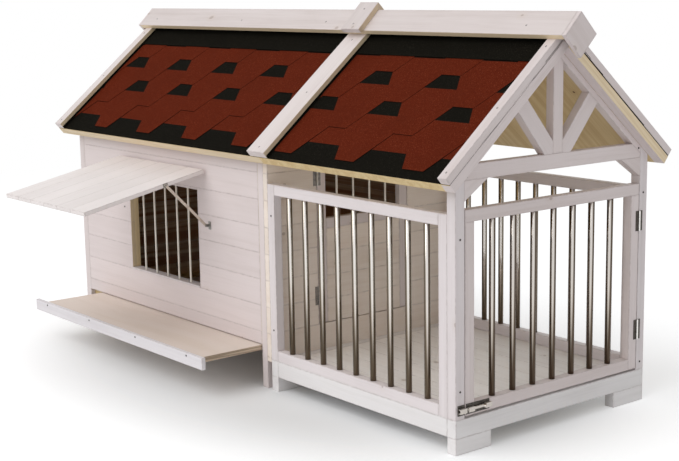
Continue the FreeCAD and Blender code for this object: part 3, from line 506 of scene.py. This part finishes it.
# Painted light: the pen's posts, panels and sill, and more so its feet and skirts, take a paler, cooler wash than the
# walls for the floor's bluish bounce light.
PEN_WASH_PAINTED_BOUNCE = washed("pen_wash_painted_bounce", tint(228, 220, 221), tint(210, 201, 201), *STAINS)
SKIRT_WASH_PAINTED_BOUNCE = washed("skirt_wash_painted_bounce", tint(236, 233, 233), tint(219, 215, 214), *STAINS)
# Painted light: the pen's floor is washed near white, paler than the rest, for light on a floor that the roof and bars
# shade.
FLOOR_WASH_PAINTED_LIGHT = washed("pen_floor_wash_painted_light", tint(251, 248, 246), tint(236, 230, 226), *STAINS)
# Painted light: the flap is washed paler than the walls, for the light on its upturned top.
FLAP_WASH_PAINTED_LIGHT = washed("flap_wash_painted_light", tint(240, 232, 230), tint(226, 216, 212), *STAINS, roughness=0.38, knotty=0.1,
                   streaky=0.6)
# Painted shade: the ridge cap and saddle take a darker wash than the walls, toning down their upturned faces.
CAP_WASH_PAINTED_SHADE = washed("cap_wash_painted_shade", tint(214, 204, 202), tint(196, 184, 180), *STAINS, bare=tint(226, 204, 164),
                  narrow_bare=True)
TOP_WASH = washed("wash_on_top", tint(226, 216, 214), *WASH[1:], bare=tint(226, 204, 164), narrow_bare=True)
FRONT_WALL = washed("front_wall_wash", tint(224, 212, 211), tint(210, 197, 194), *STAINS, bare_side=(0, 1, 0),
                    bare=INSIDE_PINE_AND_SHADE, knotty=0.14, cut_ends=tint(228, 208, 172), streaky=0.8)
BACK_WALL = washed("back_wall_wash", *WASH, bare_side=(0, -1, 0), bare=INSIDE_PINE_AND_SHADE, knotty=0.14)
LEFT_WALL = washed("left_wall_wash", *WASH, bare_side=(1, 0, 0), bare=INSIDE_PINE_AND_SHADE, knotty=0.14)
# Painted light: the partition and inner door take a paler, warmer wash than the walls, for light inside the pen.
PARTITION_WASH_PAINTED_LIGHT = washed("partition_wash_painted_light", tint(240, 228, 217), tint(224, 206, 190), *STAINS, bare_side=(-1, 0, 0),
                   bare=INSIDE_PINE_AND_SHADE, knotty=0.3)
TRAY_WASH = washed("tray_front_wash", tint(226, 222, 225), tint(210, 205, 208), *STAINS)
BARE_PINE = pine("bare_pine", PINE_TONE, PINE_DARK, PINE_KNOT)
JAMB_PINE = pine("jamb_pine", tint(240, 220, 180), tint(222, 196, 150), PINE_KNOT)
DECK_PINE = pine("deck_pine", PINE_TONE, PINE_DARK, PINE_KNOT, side=SAWN_TONE)
PEN_DECK = pine("pen_deck_pine", PINE_TONE, PINE_DARK, PINE_KNOT, side=SAWN_TONE,
                painted=(PAINT, THIN, TRUSS_FRONT, APEX_ACROSS))
RED_GRIT = granules("red_shingle", (tint(101, 38, 20), tint(84, 29, 15), tint(118, 56, 36), tint(86, 32, 17)))
BLACK_GRIT = granules("black_shingle", (tint(25, 23, 18), tint(16, 15, 12), tint(40, 37, 31), tint(20, 18, 14)))
TRAY_BOARD = laminate("tray_board", tint(226, 213, 203), tint(202, 182, 160), tint(150, 132, 112))
SIDE_STEEL = tube_steel("side_bar_steel", (0.82, 0.79, 0.75, 1), (0.64, 0.58, 0.51, 1), (0.13, 0.10, 0.07, 1), 0.15)
# Painted shade: the door's bars are the side bars' steel made darker, with a darker rim.
DOOR_STEEL_SHADED = tube_steel("door_bar_steel_shaded", (0.68, 0.64, 0.60, 1), (0.58, 0.52, 0.45, 1), (0.085, 0.06, 0.042, 1), 0.16)
ZINC = steel("zinc_plate", (0.30, 0.29, 0.27, 1), (0.14, 0.13, 0.12, 1), 0.42)
LATCH_ZINC = hinge_metal("latch_zinc", (0.10, 0.09, 0.08, 1), (0.03, 0.026, 0.024, 1), (0.56, 0.52, 0.48, 1),
                         TRUSS_FRONT, clear=0.0036)
FRONT_HINGE = hinge_metal("front_hinge_zinc", (0.085, 0.075, 0.065, 1), (0.04, 0.035, 0.03, 1),
                          (0.80, 0.78, 0.75, 1), TRUSS_FRONT)
INNER_HINGE = hinge_metal("inner_hinge_zinc", (0.26, 0.24, 0.22, 1), (0.12, 0.11, 0.10, 1), (0.60, 0.58, 0.55, 1),
                          PARTITION_FACE)
BRIGHT_ZINC = steel("stay_zinc", (0.66, 0.60, 0.52, 1), (0.36, 0.31, 0.26, 1), 0.34)
SCREW_STEEL = steel("screw_steel", (0.05, 0.045, 0.04, 1), (0.02, 0.018, 0.016, 1), 0.55)
FELT_PAINT = enamel("painted_felt_edge", PAINT, THIN, 0.6)
CREAM_BARS = enamel("cream_bars", tint(248, 243, 232), tint(222, 212, 194))


# ---------------------------------------------------------------- boards, bars and metal from the CAD nodes

def place_key(point):
    """A point to the nearest hundredth of a millimetre."""
    return tuple(round(value * PLACES_PER_METRE) for value in point)


def solids(mesh):
    """Each closed solid in a CAD mesh, as a list of faces. A solid is whole once each of its edges has two faces."""
    found, current, open_edges = [], [], {}
    for face in mesh.polygons:
        corners = [place_key(mesh.vertices[index].co) for index in face.vertices]
        current.append(face.index)
        for here, after in zip(corners, corners[1:] + corners[:1]):
            edge = (min(here, after), max(here, after))
            if open_edges.pop(edge, None) is None:
                open_edges[edge] = True
        if not open_edges:
            found.append(current)
            current = []
    return found


def solid_mesh(mesh, faces):
    """One solid of a CAD mesh, its split corners joined and its flat sides whole."""
    made = bmesh.new()
    corners = {}
    for index in faces:
        around = []
        for vertex in mesh.polygons[index].vertices:
            point = mesh.vertices[vertex].co
            key = place_key(point)
            if key not in corners:
                corners[key] = made.verts.new(point)
            around.append(corners[key])
        if len(set(around)) > 2:
            made.faces.new(around)
    bmesh.ops.recalc_face_normals(made, faces=made.faces)
    bmesh.ops.dissolve_limit(made, angle_limit=FLAT_ANGLE, verts=made.verts, edges=made.edges)
    return made


def board_axes(made):
    """A board's own directions: along its length and across its widest face."""
    areas = {}
    for face in made.faces:
        normal = face.normal.copy()
        if max(normal, key=abs) < 0:
            normal.negate()
        found = areas.setdefault(tuple(round(value, 2) for value in normal), [0.0, normal])
        found[0] += face.calc_area()
    ranked = sorted(areas.values(), key=lambda entry: -entry[0])
    widest = ranked[0][1]
    second = next((normal for area, normal in ranked[1:] if abs(normal.dot(widest)) < 0.2),
                  widest.orthogonal().normalized())
    along = widest.cross(second).normalized()
    return along, along.cross(widest).normalized()


def reach_along(made, axes):
    """The middle of a solid and its half sizes along three directions."""
    middle, half = Vector(), []
    for axis in axes:
        places = [vertex.co.dot(axis) for vertex in made.verts]
        middle += axis * (min(places) + max(places)) / 2
        half.append((max(places) - min(places)) / 2)
    return middle, half


def add_piece(name, points, faces, material, smooth=False):
    mesh = bpy.data.meshes.new(name)
    mesh.from_pydata(points, [], faces)
    mesh.materials.append(material)
    for face in mesh.polygons:
        face.use_smooth = smooth
    obj = bpy.data.objects.new(name, mesh)
    bpy.context.scene.collection.objects.link(obj)
    return obj


def stand_for(obj, node):
    """obj rides where a CAD node does and is shown in its place."""
    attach(obj, NODES[node]["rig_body"])
    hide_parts(node)
    return obj


def worked_boards(node, material, edge, chance):
    """A node's boards with eased edges, each with its own directions, middle and half sizes for its grain."""
    source = NODES[node].data
    points, faces, seeds = [], [], []
    values = {name: [] for name in (ALONG, SIDE, MIDDLE, HALF)}
    for solid in solids(source):
        made = solid_mesh(source, solid)
        along, side = board_axes(made)
        middle, half = reach_along(made, (along, side, along.cross(side)))
        sharp = [line for line in made.edges
                 if line.is_manifold and line.calc_face_angle(0) > EASED_ANGLE]
        bmesh.ops.bevel(made, geom=sharp, offset=min(edge, min(half) / 2), segments=EDGE_SEGMENTS, profile=0.5,
                        affect="EDGES", clamp_overlap=True)
        made.verts.index_update()
        first = len(points)
        points.extend(vertex.co.copy() for vertex in made.verts)
        faces.extend([first + vertex.index for vertex in face.verts] for face in made.faces)
        draw = chance.random()
        for name, value in ((ALONG, along), (SIDE, side), (MIDDLE, middle), (HALF, half)):
            values[name].extend(list(value) * len(made.verts))
        seeds.extend([draw] * len(made.verts))
        made.free()
    obj = add_piece(f"{node}_planed", points, faces, material)
    for name, listed in values.items():
        obj.data.attributes.new(name, "FLOAT_VECTOR", "POINT")
        obj.data.attributes[name].data.foreach_set("vector", listed)
    obj.data.attributes.new(BOARD_SEED, "FLOAT", "POINT")
    obj.data.attributes[BOARD_SEED].data.foreach_set("value", seeds)
    return stand_for(obj, node)


def drawn_bars(node, material):
    """A node's round bars, each with a smooth round section and eased ends."""
    source = NODES[node].data
    points, faces = [], []
    for solid in solids(source):
        made = solid_mesh(source, solid)
        axis, side = Vector((0, 0, 1)), Vector((1, 0, 0))
        middle, half = reach_along(made, (axis, side, axis.cross(side)))
        made.free()
        radius, ease = half[1], min(BAR_EASE, half[1] / 2)
        first = len(points)
        rings = ((-half[0], radius - ease), (-half[0] + ease, radius), (half[0] - ease, radius),
                 (half[0], radius - ease))
        for height, reach in rings:
            for step in range(BAR_SIDES):
                turn = 2 * math.pi * step / BAR_SIDES
                points.append(middle + Vector((reach * math.cos(turn), reach * math.sin(turn), height)))
        for ring in range(len(rings) - 1):
            for step in range(BAR_SIDES):
                here, after = first + ring * BAR_SIDES + step, first + ring * BAR_SIDES + (step + 1) % BAR_SIDES
                faces.append([here, after, after + BAR_SIDES, here + BAR_SIDES])
        faces.append([first + step for step in reversed(range(BAR_SIDES))])
        faces.append([first + (len(rings) - 1) * BAR_SIDES + step for step in range(BAR_SIDES)])
    obj = add_piece(f"{node}_drawn", points, faces, material, smooth=True)
    return stand_for(obj, node)


def screw_places(node):
    """Where a node's screws show: the centre, the way each faces and its radius."""
    source, places = NODES[node].data, []
    for solid in solids(source):
        made = solid_mesh(source, solid)
        outer = max((face for face in made.faces if len(face.verts) > ROUND_CORNERS), key=lambda face: face.calc_area())
        centre = outer.calc_center_median()
        reach = HEAD_SIZE * max((vertex.co - centre).length for vertex in outer.verts)
        places.append((centre, outer.normal.copy(), reach))
        made.free()
    return places


def screw_heads(name, places, material, chance):
    """Countersunk heads with a cross recess."""
    points, faces = [], []
    for centre, normal, radius in places:
        turn = Matrix.Rotation(chance.uniform(0, math.pi), 3, normal)
        side = turn @ normal.orthogonal().normalized()
        other = normal.cross(side)
        first = len(points)
        points.append(centre - normal * RECESS_DEPTH)
        for ring in range(1, HEAD_RINGS + 1):
            reach = radius * ring / HEAD_RINGS
            for step in range(BAR_SIDES):
                angle = 2 * math.pi * step / BAR_SIDES
                x, y = reach * math.cos(angle), reach * math.sin(angle)
                wide, long = sorted((abs(x), abs(y)))
                inside = wide < RECESS_WIDE * radius and long < RECESS_LONG * radius
                lift = -RECESS_DEPTH * (1 - 0.5 * long / radius) if inside else -HEAD_CROWN * (reach / radius) ** 2
                points.append(centre + side * x + other * y + normal * lift)
        for step in range(BAR_SIDES):
            angle = 2 * math.pi * step / BAR_SIDES
            points.append(centre + (side * math.cos(angle) + other * math.sin(angle)) * radius * HEAD_TAPER
                          - normal * HEAD_DEPTH)
        for step in range(BAR_SIDES):
            faces.append([first, first + 1 + step, first + 1 + (step + 1) % BAR_SIDES])
        for ring in range(HEAD_RINGS):
            for step in range(BAR_SIDES):
                here = first + 1 + ring * BAR_SIDES + step
                after = first + 1 + ring * BAR_SIDES + (step + 1) % BAR_SIDES
                faces.append([here, here + BAR_SIDES, after + BAR_SIDES, after])
        last = first + 1 + HEAD_RINGS * BAR_SIDES
        faces.append([last + step for step in range(BAR_SIDES)])
    obj = add_piece(name, points, faces, material)
    return obj


def pressed_metal(node, material):
    """A CAD node of sheet metal, its edges joined and eased by modifiers."""
    obj = NODES[node]
    obj.data.materials.clear()
    obj.data.materials.append(material)
    weld = obj.modifiers.new("join", "WELD")
    weld.merge_threshold = WELD_DISTANCE
    flat = obj.modifiers.new("flat", "DECIMATE")
    flat.decimate_type = "DISSOLVE"
    flat.angle_limit = FLAT_ANGLE
    ease = obj.modifiers.new("edge", "BEVEL")
    ease.width = METAL_EDGE
    ease.segments = 1
    ease.limit_method = "ANGLE"
    ease.angle_limit = EASED_ANGLE
    return obj


# Material, record slot, edge and the nodes that have them
BOARDS = (
    (WHITE_WASH, "whitewashed_pine", BOARD_EDGE, (
        "house_posts", "front_door_stiles", "front_door_rails", "gable_tie_beam", "gable_king_post", "gable_struts",
        "gable_rafters", "gable_knee_blocks", "inner_door_frame", "door_end_barge_boards", "ridge_end_plates",
        "window_head")),
    (PEN_WASH_PAINTED_BOUNCE, "whitewashed_pine", BOARD_EDGE, (
        "pen_corner_posts", "side_panel_stiles", "side_panel_rails", "window_sill")),
    (SKIRT_WASH_PAINTED_BOUNCE, "whitewashed_pine", BOARD_EDGE, ("pen_feet", "pen_end_skirts", "pen_side_skirts")),
    (FLOOR_WASH_PAINTED_LIGHT, "whitewashed_pine", BOARD_EDGE, ("pen_floor_boards",)),
    (FLAP_WASH_PAINTED_LIGHT, "whitewashed_pine", BOARD_EDGE, ("flap_boards",)),
    (TRAY_WASH, "whitewashed_pine", BOARD_EDGE, ("tray_front_board",)),
    (TOP_WASH, "whitewashed_pine", BOARD_EDGE, ("left_end_barge_boards", "roof_joint_battens")),
    (CAP_WASH_PAINTED_SHADE, "whitewashed_pine", BOARD_EDGE, ("ridge_cap_boards", "ridge_saddle_boards")),
    (FRONT_WALL, "whitewashed_pine", PLANK_EDGE, ("window_wall_boards",)),
    (BACK_WALL, "whitewashed_pine", PLANK_EDGE, ("back_wall_boards",)),
    (LEFT_WALL, "whitewashed_pine", PLANK_EDGE, ("left_wall_boards",)),
    (PARTITION_WASH_PAINTED_LIGHT, "whitewashed_pine", PLANK_EDGE, ("partition_boards", "inner_door_boards")),
    (BARE_PINE, "natural_pine", BOARD_EDGE, ("tray_bearers", "tray_guide_strip", "flap_battens", "pen_floor_bearers")),
    (JAMB_PINE, "natural_pine", BOARD_EDGE, ("window_jambs",)),
    (DECK_PINE, "natural_pine", BOARD_EDGE, ("house_roof_decks",)),
    (PEN_DECK, "natural_pine", BOARD_EDGE, ("pen_roof_decks",)),
    (TRAY_BOARD, "tray_board", BOARD_EDGE, ("tray_panel",)),
)
BARS = (
    (SIDE_STEEL, "bar_steel", ("side_panel_bars",)),
    (DOOR_STEEL_SHADED, "bar_steel", ("front_door_bars",)),
    (CREAM_BARS, "white_grille", ("window_bars", "inner_door_bars")),
)
METAL = (
    (ZINC, ("flap_hinge_wall_leaves", "flap_hinge_leaves", "stay_flap_bracket", "stay_wall_bracket")),
    (FRONT_HINGE, ("front_hinge_post_leaves", "front_hinge_door_leaves")),
    (INNER_HINGE, ("inner_hinge_wall_leaves", "inner_hinge_door_leaves")),
    (LATCH_ZINC, ("latch_plate", "latch_bolt", "latch_keeper")),
    (BRIGHT_ZINC, ("stay_upper_link", "stay_lower_link")),
)


def finish_nodes():
    chance = random.Random(SEED)
    for material, slot, edge, names in BOARDS:
        for name in names:
            worked_boards(name, material, edge, chance)
    for material, slot, names in BARS:
        for name in names:
            drawn_bars(name, material)
    for material, names in METAL:
        for name in names:
            pressed_metal(name, material)
    for name in ("frame_screws", "tray_screws"):
        stand_for(screw_heads(f"{name}_heads", screw_places(name), SCREW_STEEL, chance), name)
    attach(screw_heads("roof_screw_heads", roof_screws(), SCREW_STEEL, chance), "house")


# ---------------------------------------------------------------- roof covering

def slope_point(side, along_x, run, lift):
    """A point on a roof slope: side -1 is the near slope, run is down from the apex, lift is above the deck."""
    depth = DECK_DEPTH - lift
    return Vector((along_x,
                   APEX_ACROSS + side * (run * math.cos(ROOF_SLOPE) - depth * math.sin(ROOF_SLOPE)),
                   APEX_HEIGHT - run * math.sin(ROOF_SLOPE) - depth * math.cos(ROOF_SLOPE)))


def course_outline(low_x, high_x, first_tab, notch_run):
    """A course's tabs as outlines of (x, run) below the line of its notches' tops, cut off at the bay's ends."""
    lean = (TAB_PITCH - NOTCH_TOP - TAB_BOTTOM) / 2
    tabs = []
    count = int((low_x - first_tab) // TAB_PITCH) - 1
    while first_tab + count * TAB_PITCH - TAB_PITCH < high_x:
        middle = first_tab + count * TAB_PITCH
        corners = [(middle - TAB_BOTTOM / 2 - lean, notch_run), (middle + TAB_BOTTOM / 2 + lean, notch_run),
                   (middle + TAB_BOTTOM / 2, notch_run + COURSE_STEP),
                   (middle - TAB_BOTTOM / 2, notch_run + COURSE_STEP)]
        count += 1
        kept = clipped(corners, low_x, high_x)
        if len(kept) > 2:
            tabs.append(kept)
    return tabs


def clipped(corners, low_x, high_x):
    """A convex outline cut off at two upright lines."""
    for limit, sign in ((low_x, 1), (high_x, -1)):
        kept = []
        for here, after in zip(corners, corners[1:] + corners[:1]):
            inside, next_inside = sign * (here[0] - limit) >= 0, sign * (after[0] - limit) >= 0
            if inside:
                kept.append(here)
            if inside != next_inside:
                share = (limit - here[0]) / (after[0] - here[0])
                kept.append((limit, here[1] + share * (after[1] - here[1])))
        corners = kept
        if not corners:
            break
    return corners


def lay_slope(name, side, low_x, high_x, tab_start, upstands, painted_end=None):
    """The starter strip, four courses of tabs, the ridge felt and the felt's upstands on one slope of one bay."""
    made = bmesh.new()

    def slab(outline, zone, tilt):
        top = [made.verts.new(slope_point(side, x, run, tilt(run) + STRIP_THICK)) for x, run in outline]
        low = [made.verts.new(slope_point(side, x, run, tilt(run))) for x, run in outline]
        made.faces.new(top).material_index = zone
        made.faces.new(low[::-1]).material_index = zone
        for here in range(len(outline)):
            after = (here + 1) % len(outline)
            at_end = painted_end is not None and all(abs(outline[index][0] - painted_end) < MM
                                                     for index in (here, after))
            side_face = made.faces.new((top[here], low[here], low[after], top[after]))
            side_face.material_index = PAINTED if at_end else BLACK

    def flat(run):
        return 0.0

    def felt_lift(run):
        return FELT_LIFT * STRIP_THICK

    eave = EAVE_RUN - EAVE_INSET
    slab([(low_x, STARTER_TOP - STRIP_LAP), (high_x, STARTER_TOP - STRIP_LAP), (high_x, STARTER_BLACK),
          (low_x, STARTER_BLACK)], RED, flat)
    slab([(low_x, STARTER_BLACK), (high_x, STARTER_BLACK), (high_x, eave), (low_x, eave)], BLACK, flat)
    for course in range(COURSES):
        notch_run = FIRST_NOTCH + course * COURSE_STEP
        top_run = max(notch_run - COURSE_STEP - STRIP_LAP / 4, FELT_TOP)
        bottom_run = notch_run + COURSE_STEP

        def tilt(run, top_run=top_run, bottom_run=bottom_run):
            return STRIP_THICK * (TILT_START + TILT_RISE * (run - top_run) / (bottom_run - top_run))

        change = max(notch_run - COURSE_STEP + BLACK_BAND, top_run)
        if change > top_run:
            slab([(low_x, top_run), (high_x, top_run), (high_x, change), (low_x, change)], BLACK, tilt)
        slab([(low_x, change), (high_x, change), (high_x, notch_run), (low_x, notch_run)], RED, tilt)
        start = tab_start + (course % 2) * TAB_PITCH / 2
        for tab in course_outline(low_x, high_x, start, notch_run):
            slab(tab, RED, tilt)
    slab([(low_x, FELT_TOP), (high_x, FELT_TOP), (high_x, RIDGE_FELT_END), (low_x, RIDGE_FELT_END)], BLACK,
         felt_lift)
    for x in upstands:
        corners = [[made.verts.new(slope_point(side, across, run, lift)) for run, lift in
                    ((FELT_TOP, 0.0), (FELT_TOP, UPSTAND_HEIGHT), (eave, UPSTAND_HEIGHT), (eave, 0.0))]
                   for across in (x, x + UPSTAND_THICK)]
        faces = [corners[0], corners[1][::-1]]
        faces += [(corners[0][index], corners[0][index - 1], corners[1][index - 1], corners[1][index])
                  for index in range(4)]
        for face in faces:
            made.faces.new(face).material_index = BLACK
    bmesh.ops.recalc_face_normals(made, faces=made.faces)
    mesh = bpy.data.meshes.new(name)
    made.to_mesh(mesh)
    made.free()
    for material in (RED_GRIT, BLACK_GRIT, FELT_PAINT):
        mesh.materials.append(material)
    obj = bpy.data.objects.new(name, mesh)
    bpy.context.scene.collection.objects.link(obj)
    return obj


def roof_screws():
    """Screws through the barge boards, joint battens, cap and saddle, as (centre, way it faces, radius)."""
    places = []
    for side in (-1, 1):
        out = Vector((0, side * math.sin(ROOF_SLOPE), math.cos(ROOF_SLOPE)))
        for node in ("door_end_barge_boards", "left_end_barge_boards", "roof_joint_battens"):
            low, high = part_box(node)
            for run in BATTEN_SCREW_RUNS:
                places.append((slope_point(side, (low.x + high.x) / 2, run, DECK_DEPTH) + out * HEAD_CROWN, out,
                               ROOF_HEAD))
        out = Vector((0, side, 1)).normalized()
        for node, reaches, insets in (("ridge_cap_boards", CAP_SCREW_REACHES, CAP_SCREW_INSETS),
                                      ("ridge_saddle_boards", SADDLE_SCREW_REACHES, SADDLE_SCREW_INSETS)):
            low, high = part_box(node)
            apex, reach = (low.y + high.y) / 2, (high.y - low.y) / 2
            for share in reaches:
                for inset in insets:
                    spot = Vector((low.x + inset * (high.x - low.x), apex + side * reach * share,
                                   high.z - reach * share))
                    places.append((spot + out * HEAD_CROWN, out, ROOF_HEAD))
    return places


# Where one tab's middle lies in each bay's first course
HOUSE_TAB = TRUSS_FRONT - 1.770
PEN_TAB = TRUSS_FRONT - 0.514


def lay_roof():
    left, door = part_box("left_end_barge_boards"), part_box("door_end_barge_boards")
    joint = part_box("roof_joint_battens")
    for node, start, upstands in (
            ("house_shingles", HOUSE_TAB, (left[1].x, joint[0].x - UPSTAND_THICK)),
            ("pen_shingles", PEN_TAB, (joint[1].x, door[0].x - UPSTAND_THICK))):
        low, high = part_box(node)
        for side, label in ((-1, "near"), (1, "far")):
            painted_end = high.x if (node, side) == ("pen_shingles", -1) else None
            piece = lay_slope(f"{node}_{label}_courses", side, low.x + BAY_INSET, high.x, start, upstands,
                              painted_end)
            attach(piece, "house")
            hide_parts(node)


# ---------------------------------------------------------------- stage

def make_floor():
    mesh = bpy.data.meshes.new("floor")
    half = FLOOR_WIDTH / 2
    mesh.from_pydata([(-half, -half, 0), (half, -half, 0), (half, half, 0), (-half, half, 0)], [], [(0, 1, 2, 3)])
    floor = bpy.data.objects.new("floor", mesh)
    bpy.context.scene.collection.objects.link(floor)
    shade = Shade("pale_floor")
    point = shade.node("ShaderNodeTexCoord").outputs["Object"]
    far = shade.spread(shade.vector("LENGTH", point), FLOOR_NEAR, FLOOR_FAR)
    path = shade.node("ShaderNodeLightPath")
    seen = shade.math("MAXIMUM", path.outputs["Is Camera Ray"], path.outputs["Is Glossy Ray"])
    dull = shade.node("ShaderNodeBsdfDiffuse")
    dull.inputs["Color"].default_value = FLOOR_COLOUR
    # Painted shade: no glow under and near the footprint, leaving the floor there darker.
    away = shade.spread(shade.vector("LENGTH", shade.scaled(point, FOOTPRINT_SCALE)), LIFT_FROM, LIFT_FULL)
    lift = shade.node("ShaderNodeEmission")
    shade.put(lift.inputs["Strength"], shade.math("MULTIPLY", shade.math("MULTIPLY", seen, away), FLOOR_LIFT))
    lit = shade.node("ShaderNodeAddShader")
    shade.put(lit.inputs[0], dull.outputs[0])
    shade.put(lit.inputs[1], lift.outputs[0])
    glow = shade.node("ShaderNodeEmission")
    glow.inputs["Strength"].default_value = 1.0
    both = shade.node("ShaderNodeMixShader")
    shade.put(both.inputs[0], shade.math("MULTIPLY", far, seen))
    shade.put(both.inputs[1], lit.outputs[0])
    shade.put(both.inputs[2], glow.outputs[0])
    shade.put(shade.out.inputs["Surface"], both.outputs[0])
    mesh.materials.append(shade.material)


def make_light():
    world = bpy.data.worlds.new("studio")
    bpy.context.scene.world = world
    world.use_nodes = True
    tree = world.node_tree
    tree.nodes.clear()
    path = tree.nodes.new("ShaderNodeLightPath")
    soft = tree.nodes.new("ShaderNodeBackground")
    soft.inputs["Color"].default_value = SKY_COLOUR
    soft.inputs["Strength"].default_value = SKY_STRENGTH
    white = tree.nodes.new("ShaderNodeBackground")
    white.inputs["Color"].default_value = (1, 1, 1, 1)
    either = None
    for output in ("Is Camera Ray", "Is Glossy Ray", "Is Transmission Ray"):
        if either is None:
            either = path.outputs[output]
            continue
        most = tree.nodes.new("ShaderNodeMath")
        most.operation = "MAXIMUM"
        tree.links.new(either, most.inputs[0])
        tree.links.new(path.outputs[output], most.inputs[1])
        either = most.outputs[0]
    both = tree.nodes.new("ShaderNodeMixShader")
    tree.links.new(either, both.inputs[0])
    tree.links.new(soft.outputs[0], both.inputs[1])
    tree.links.new(white.outputs[0], both.inputs[2])
    tree.links.new(both.outputs[0], tree.nodes.new("ShaderNodeOutputWorld").inputs["Surface"])
    lamp = bpy.data.lights.new("sun", "SUN")
    lamp.energy = SUN_STRENGTH
    lamp.angle = SUN_ANGLE
    sun = bpy.data.objects.new("sun", lamp)
    sun.rotation_mode = "QUATERNION"
    sun.rotation_quaternion = Vector(SUN_TOWARDS).to_track_quat("Z", "Y")
    bpy.context.scene.collection.objects.link(sun)


def make_camera():
    """Stands where the photograph was taken from, with its axis off the picture's middle by the shift."""
    forward = Vector((-math.sin(CAMERA_YAW) * math.cos(CAMERA_PITCH),
                      math.cos(CAMERA_YAW) * math.cos(CAMERA_PITCH), -math.sin(CAMERA_PITCH)))
    right = Vector((math.cos(CAMERA_YAW), math.sin(CAMERA_YAW), 0))
    up = right.cross(forward)
    cosine, sine = math.cos(CAMERA_ROLL), math.sin(CAMERA_ROLL)
    turned_right = right * cosine + up * sine
    turned_up = up * cosine - right * sine
    data = bpy.data.cameras.new("camera")
    data.sensor_fit = "HORIZONTAL"
    data.sensor_width = SENSOR_WIDTH
    data.lens = FOCAL_PIXELS / PICTURE_WIDTH * SENSOR_WIDTH
    data.shift_x = (PICTURE_WIDTH / 2 - AXIS_PIXEL[0]) / PICTURE_WIDTH
    data.shift_y = (AXIS_PIXEL[1] - PICTURE_HEIGHT / 2) / PICTURE_WIDTH
    camera = bpy.data.objects.new("camera", data)
    turned = Matrix((turned_right, turned_up, -forward)).transposed().to_4x4()
    camera.matrix_world = Matrix.Translation(CAMERA_PLACE) @ turned
    bpy.context.scene.collection.objects.link(camera)
    bpy.context.scene.camera = camera


bpy.context.scene.view_settings.view_transform = "Standard"
make_camera()
make_light()
make_floor()
finish_nodes()
lay_roof()
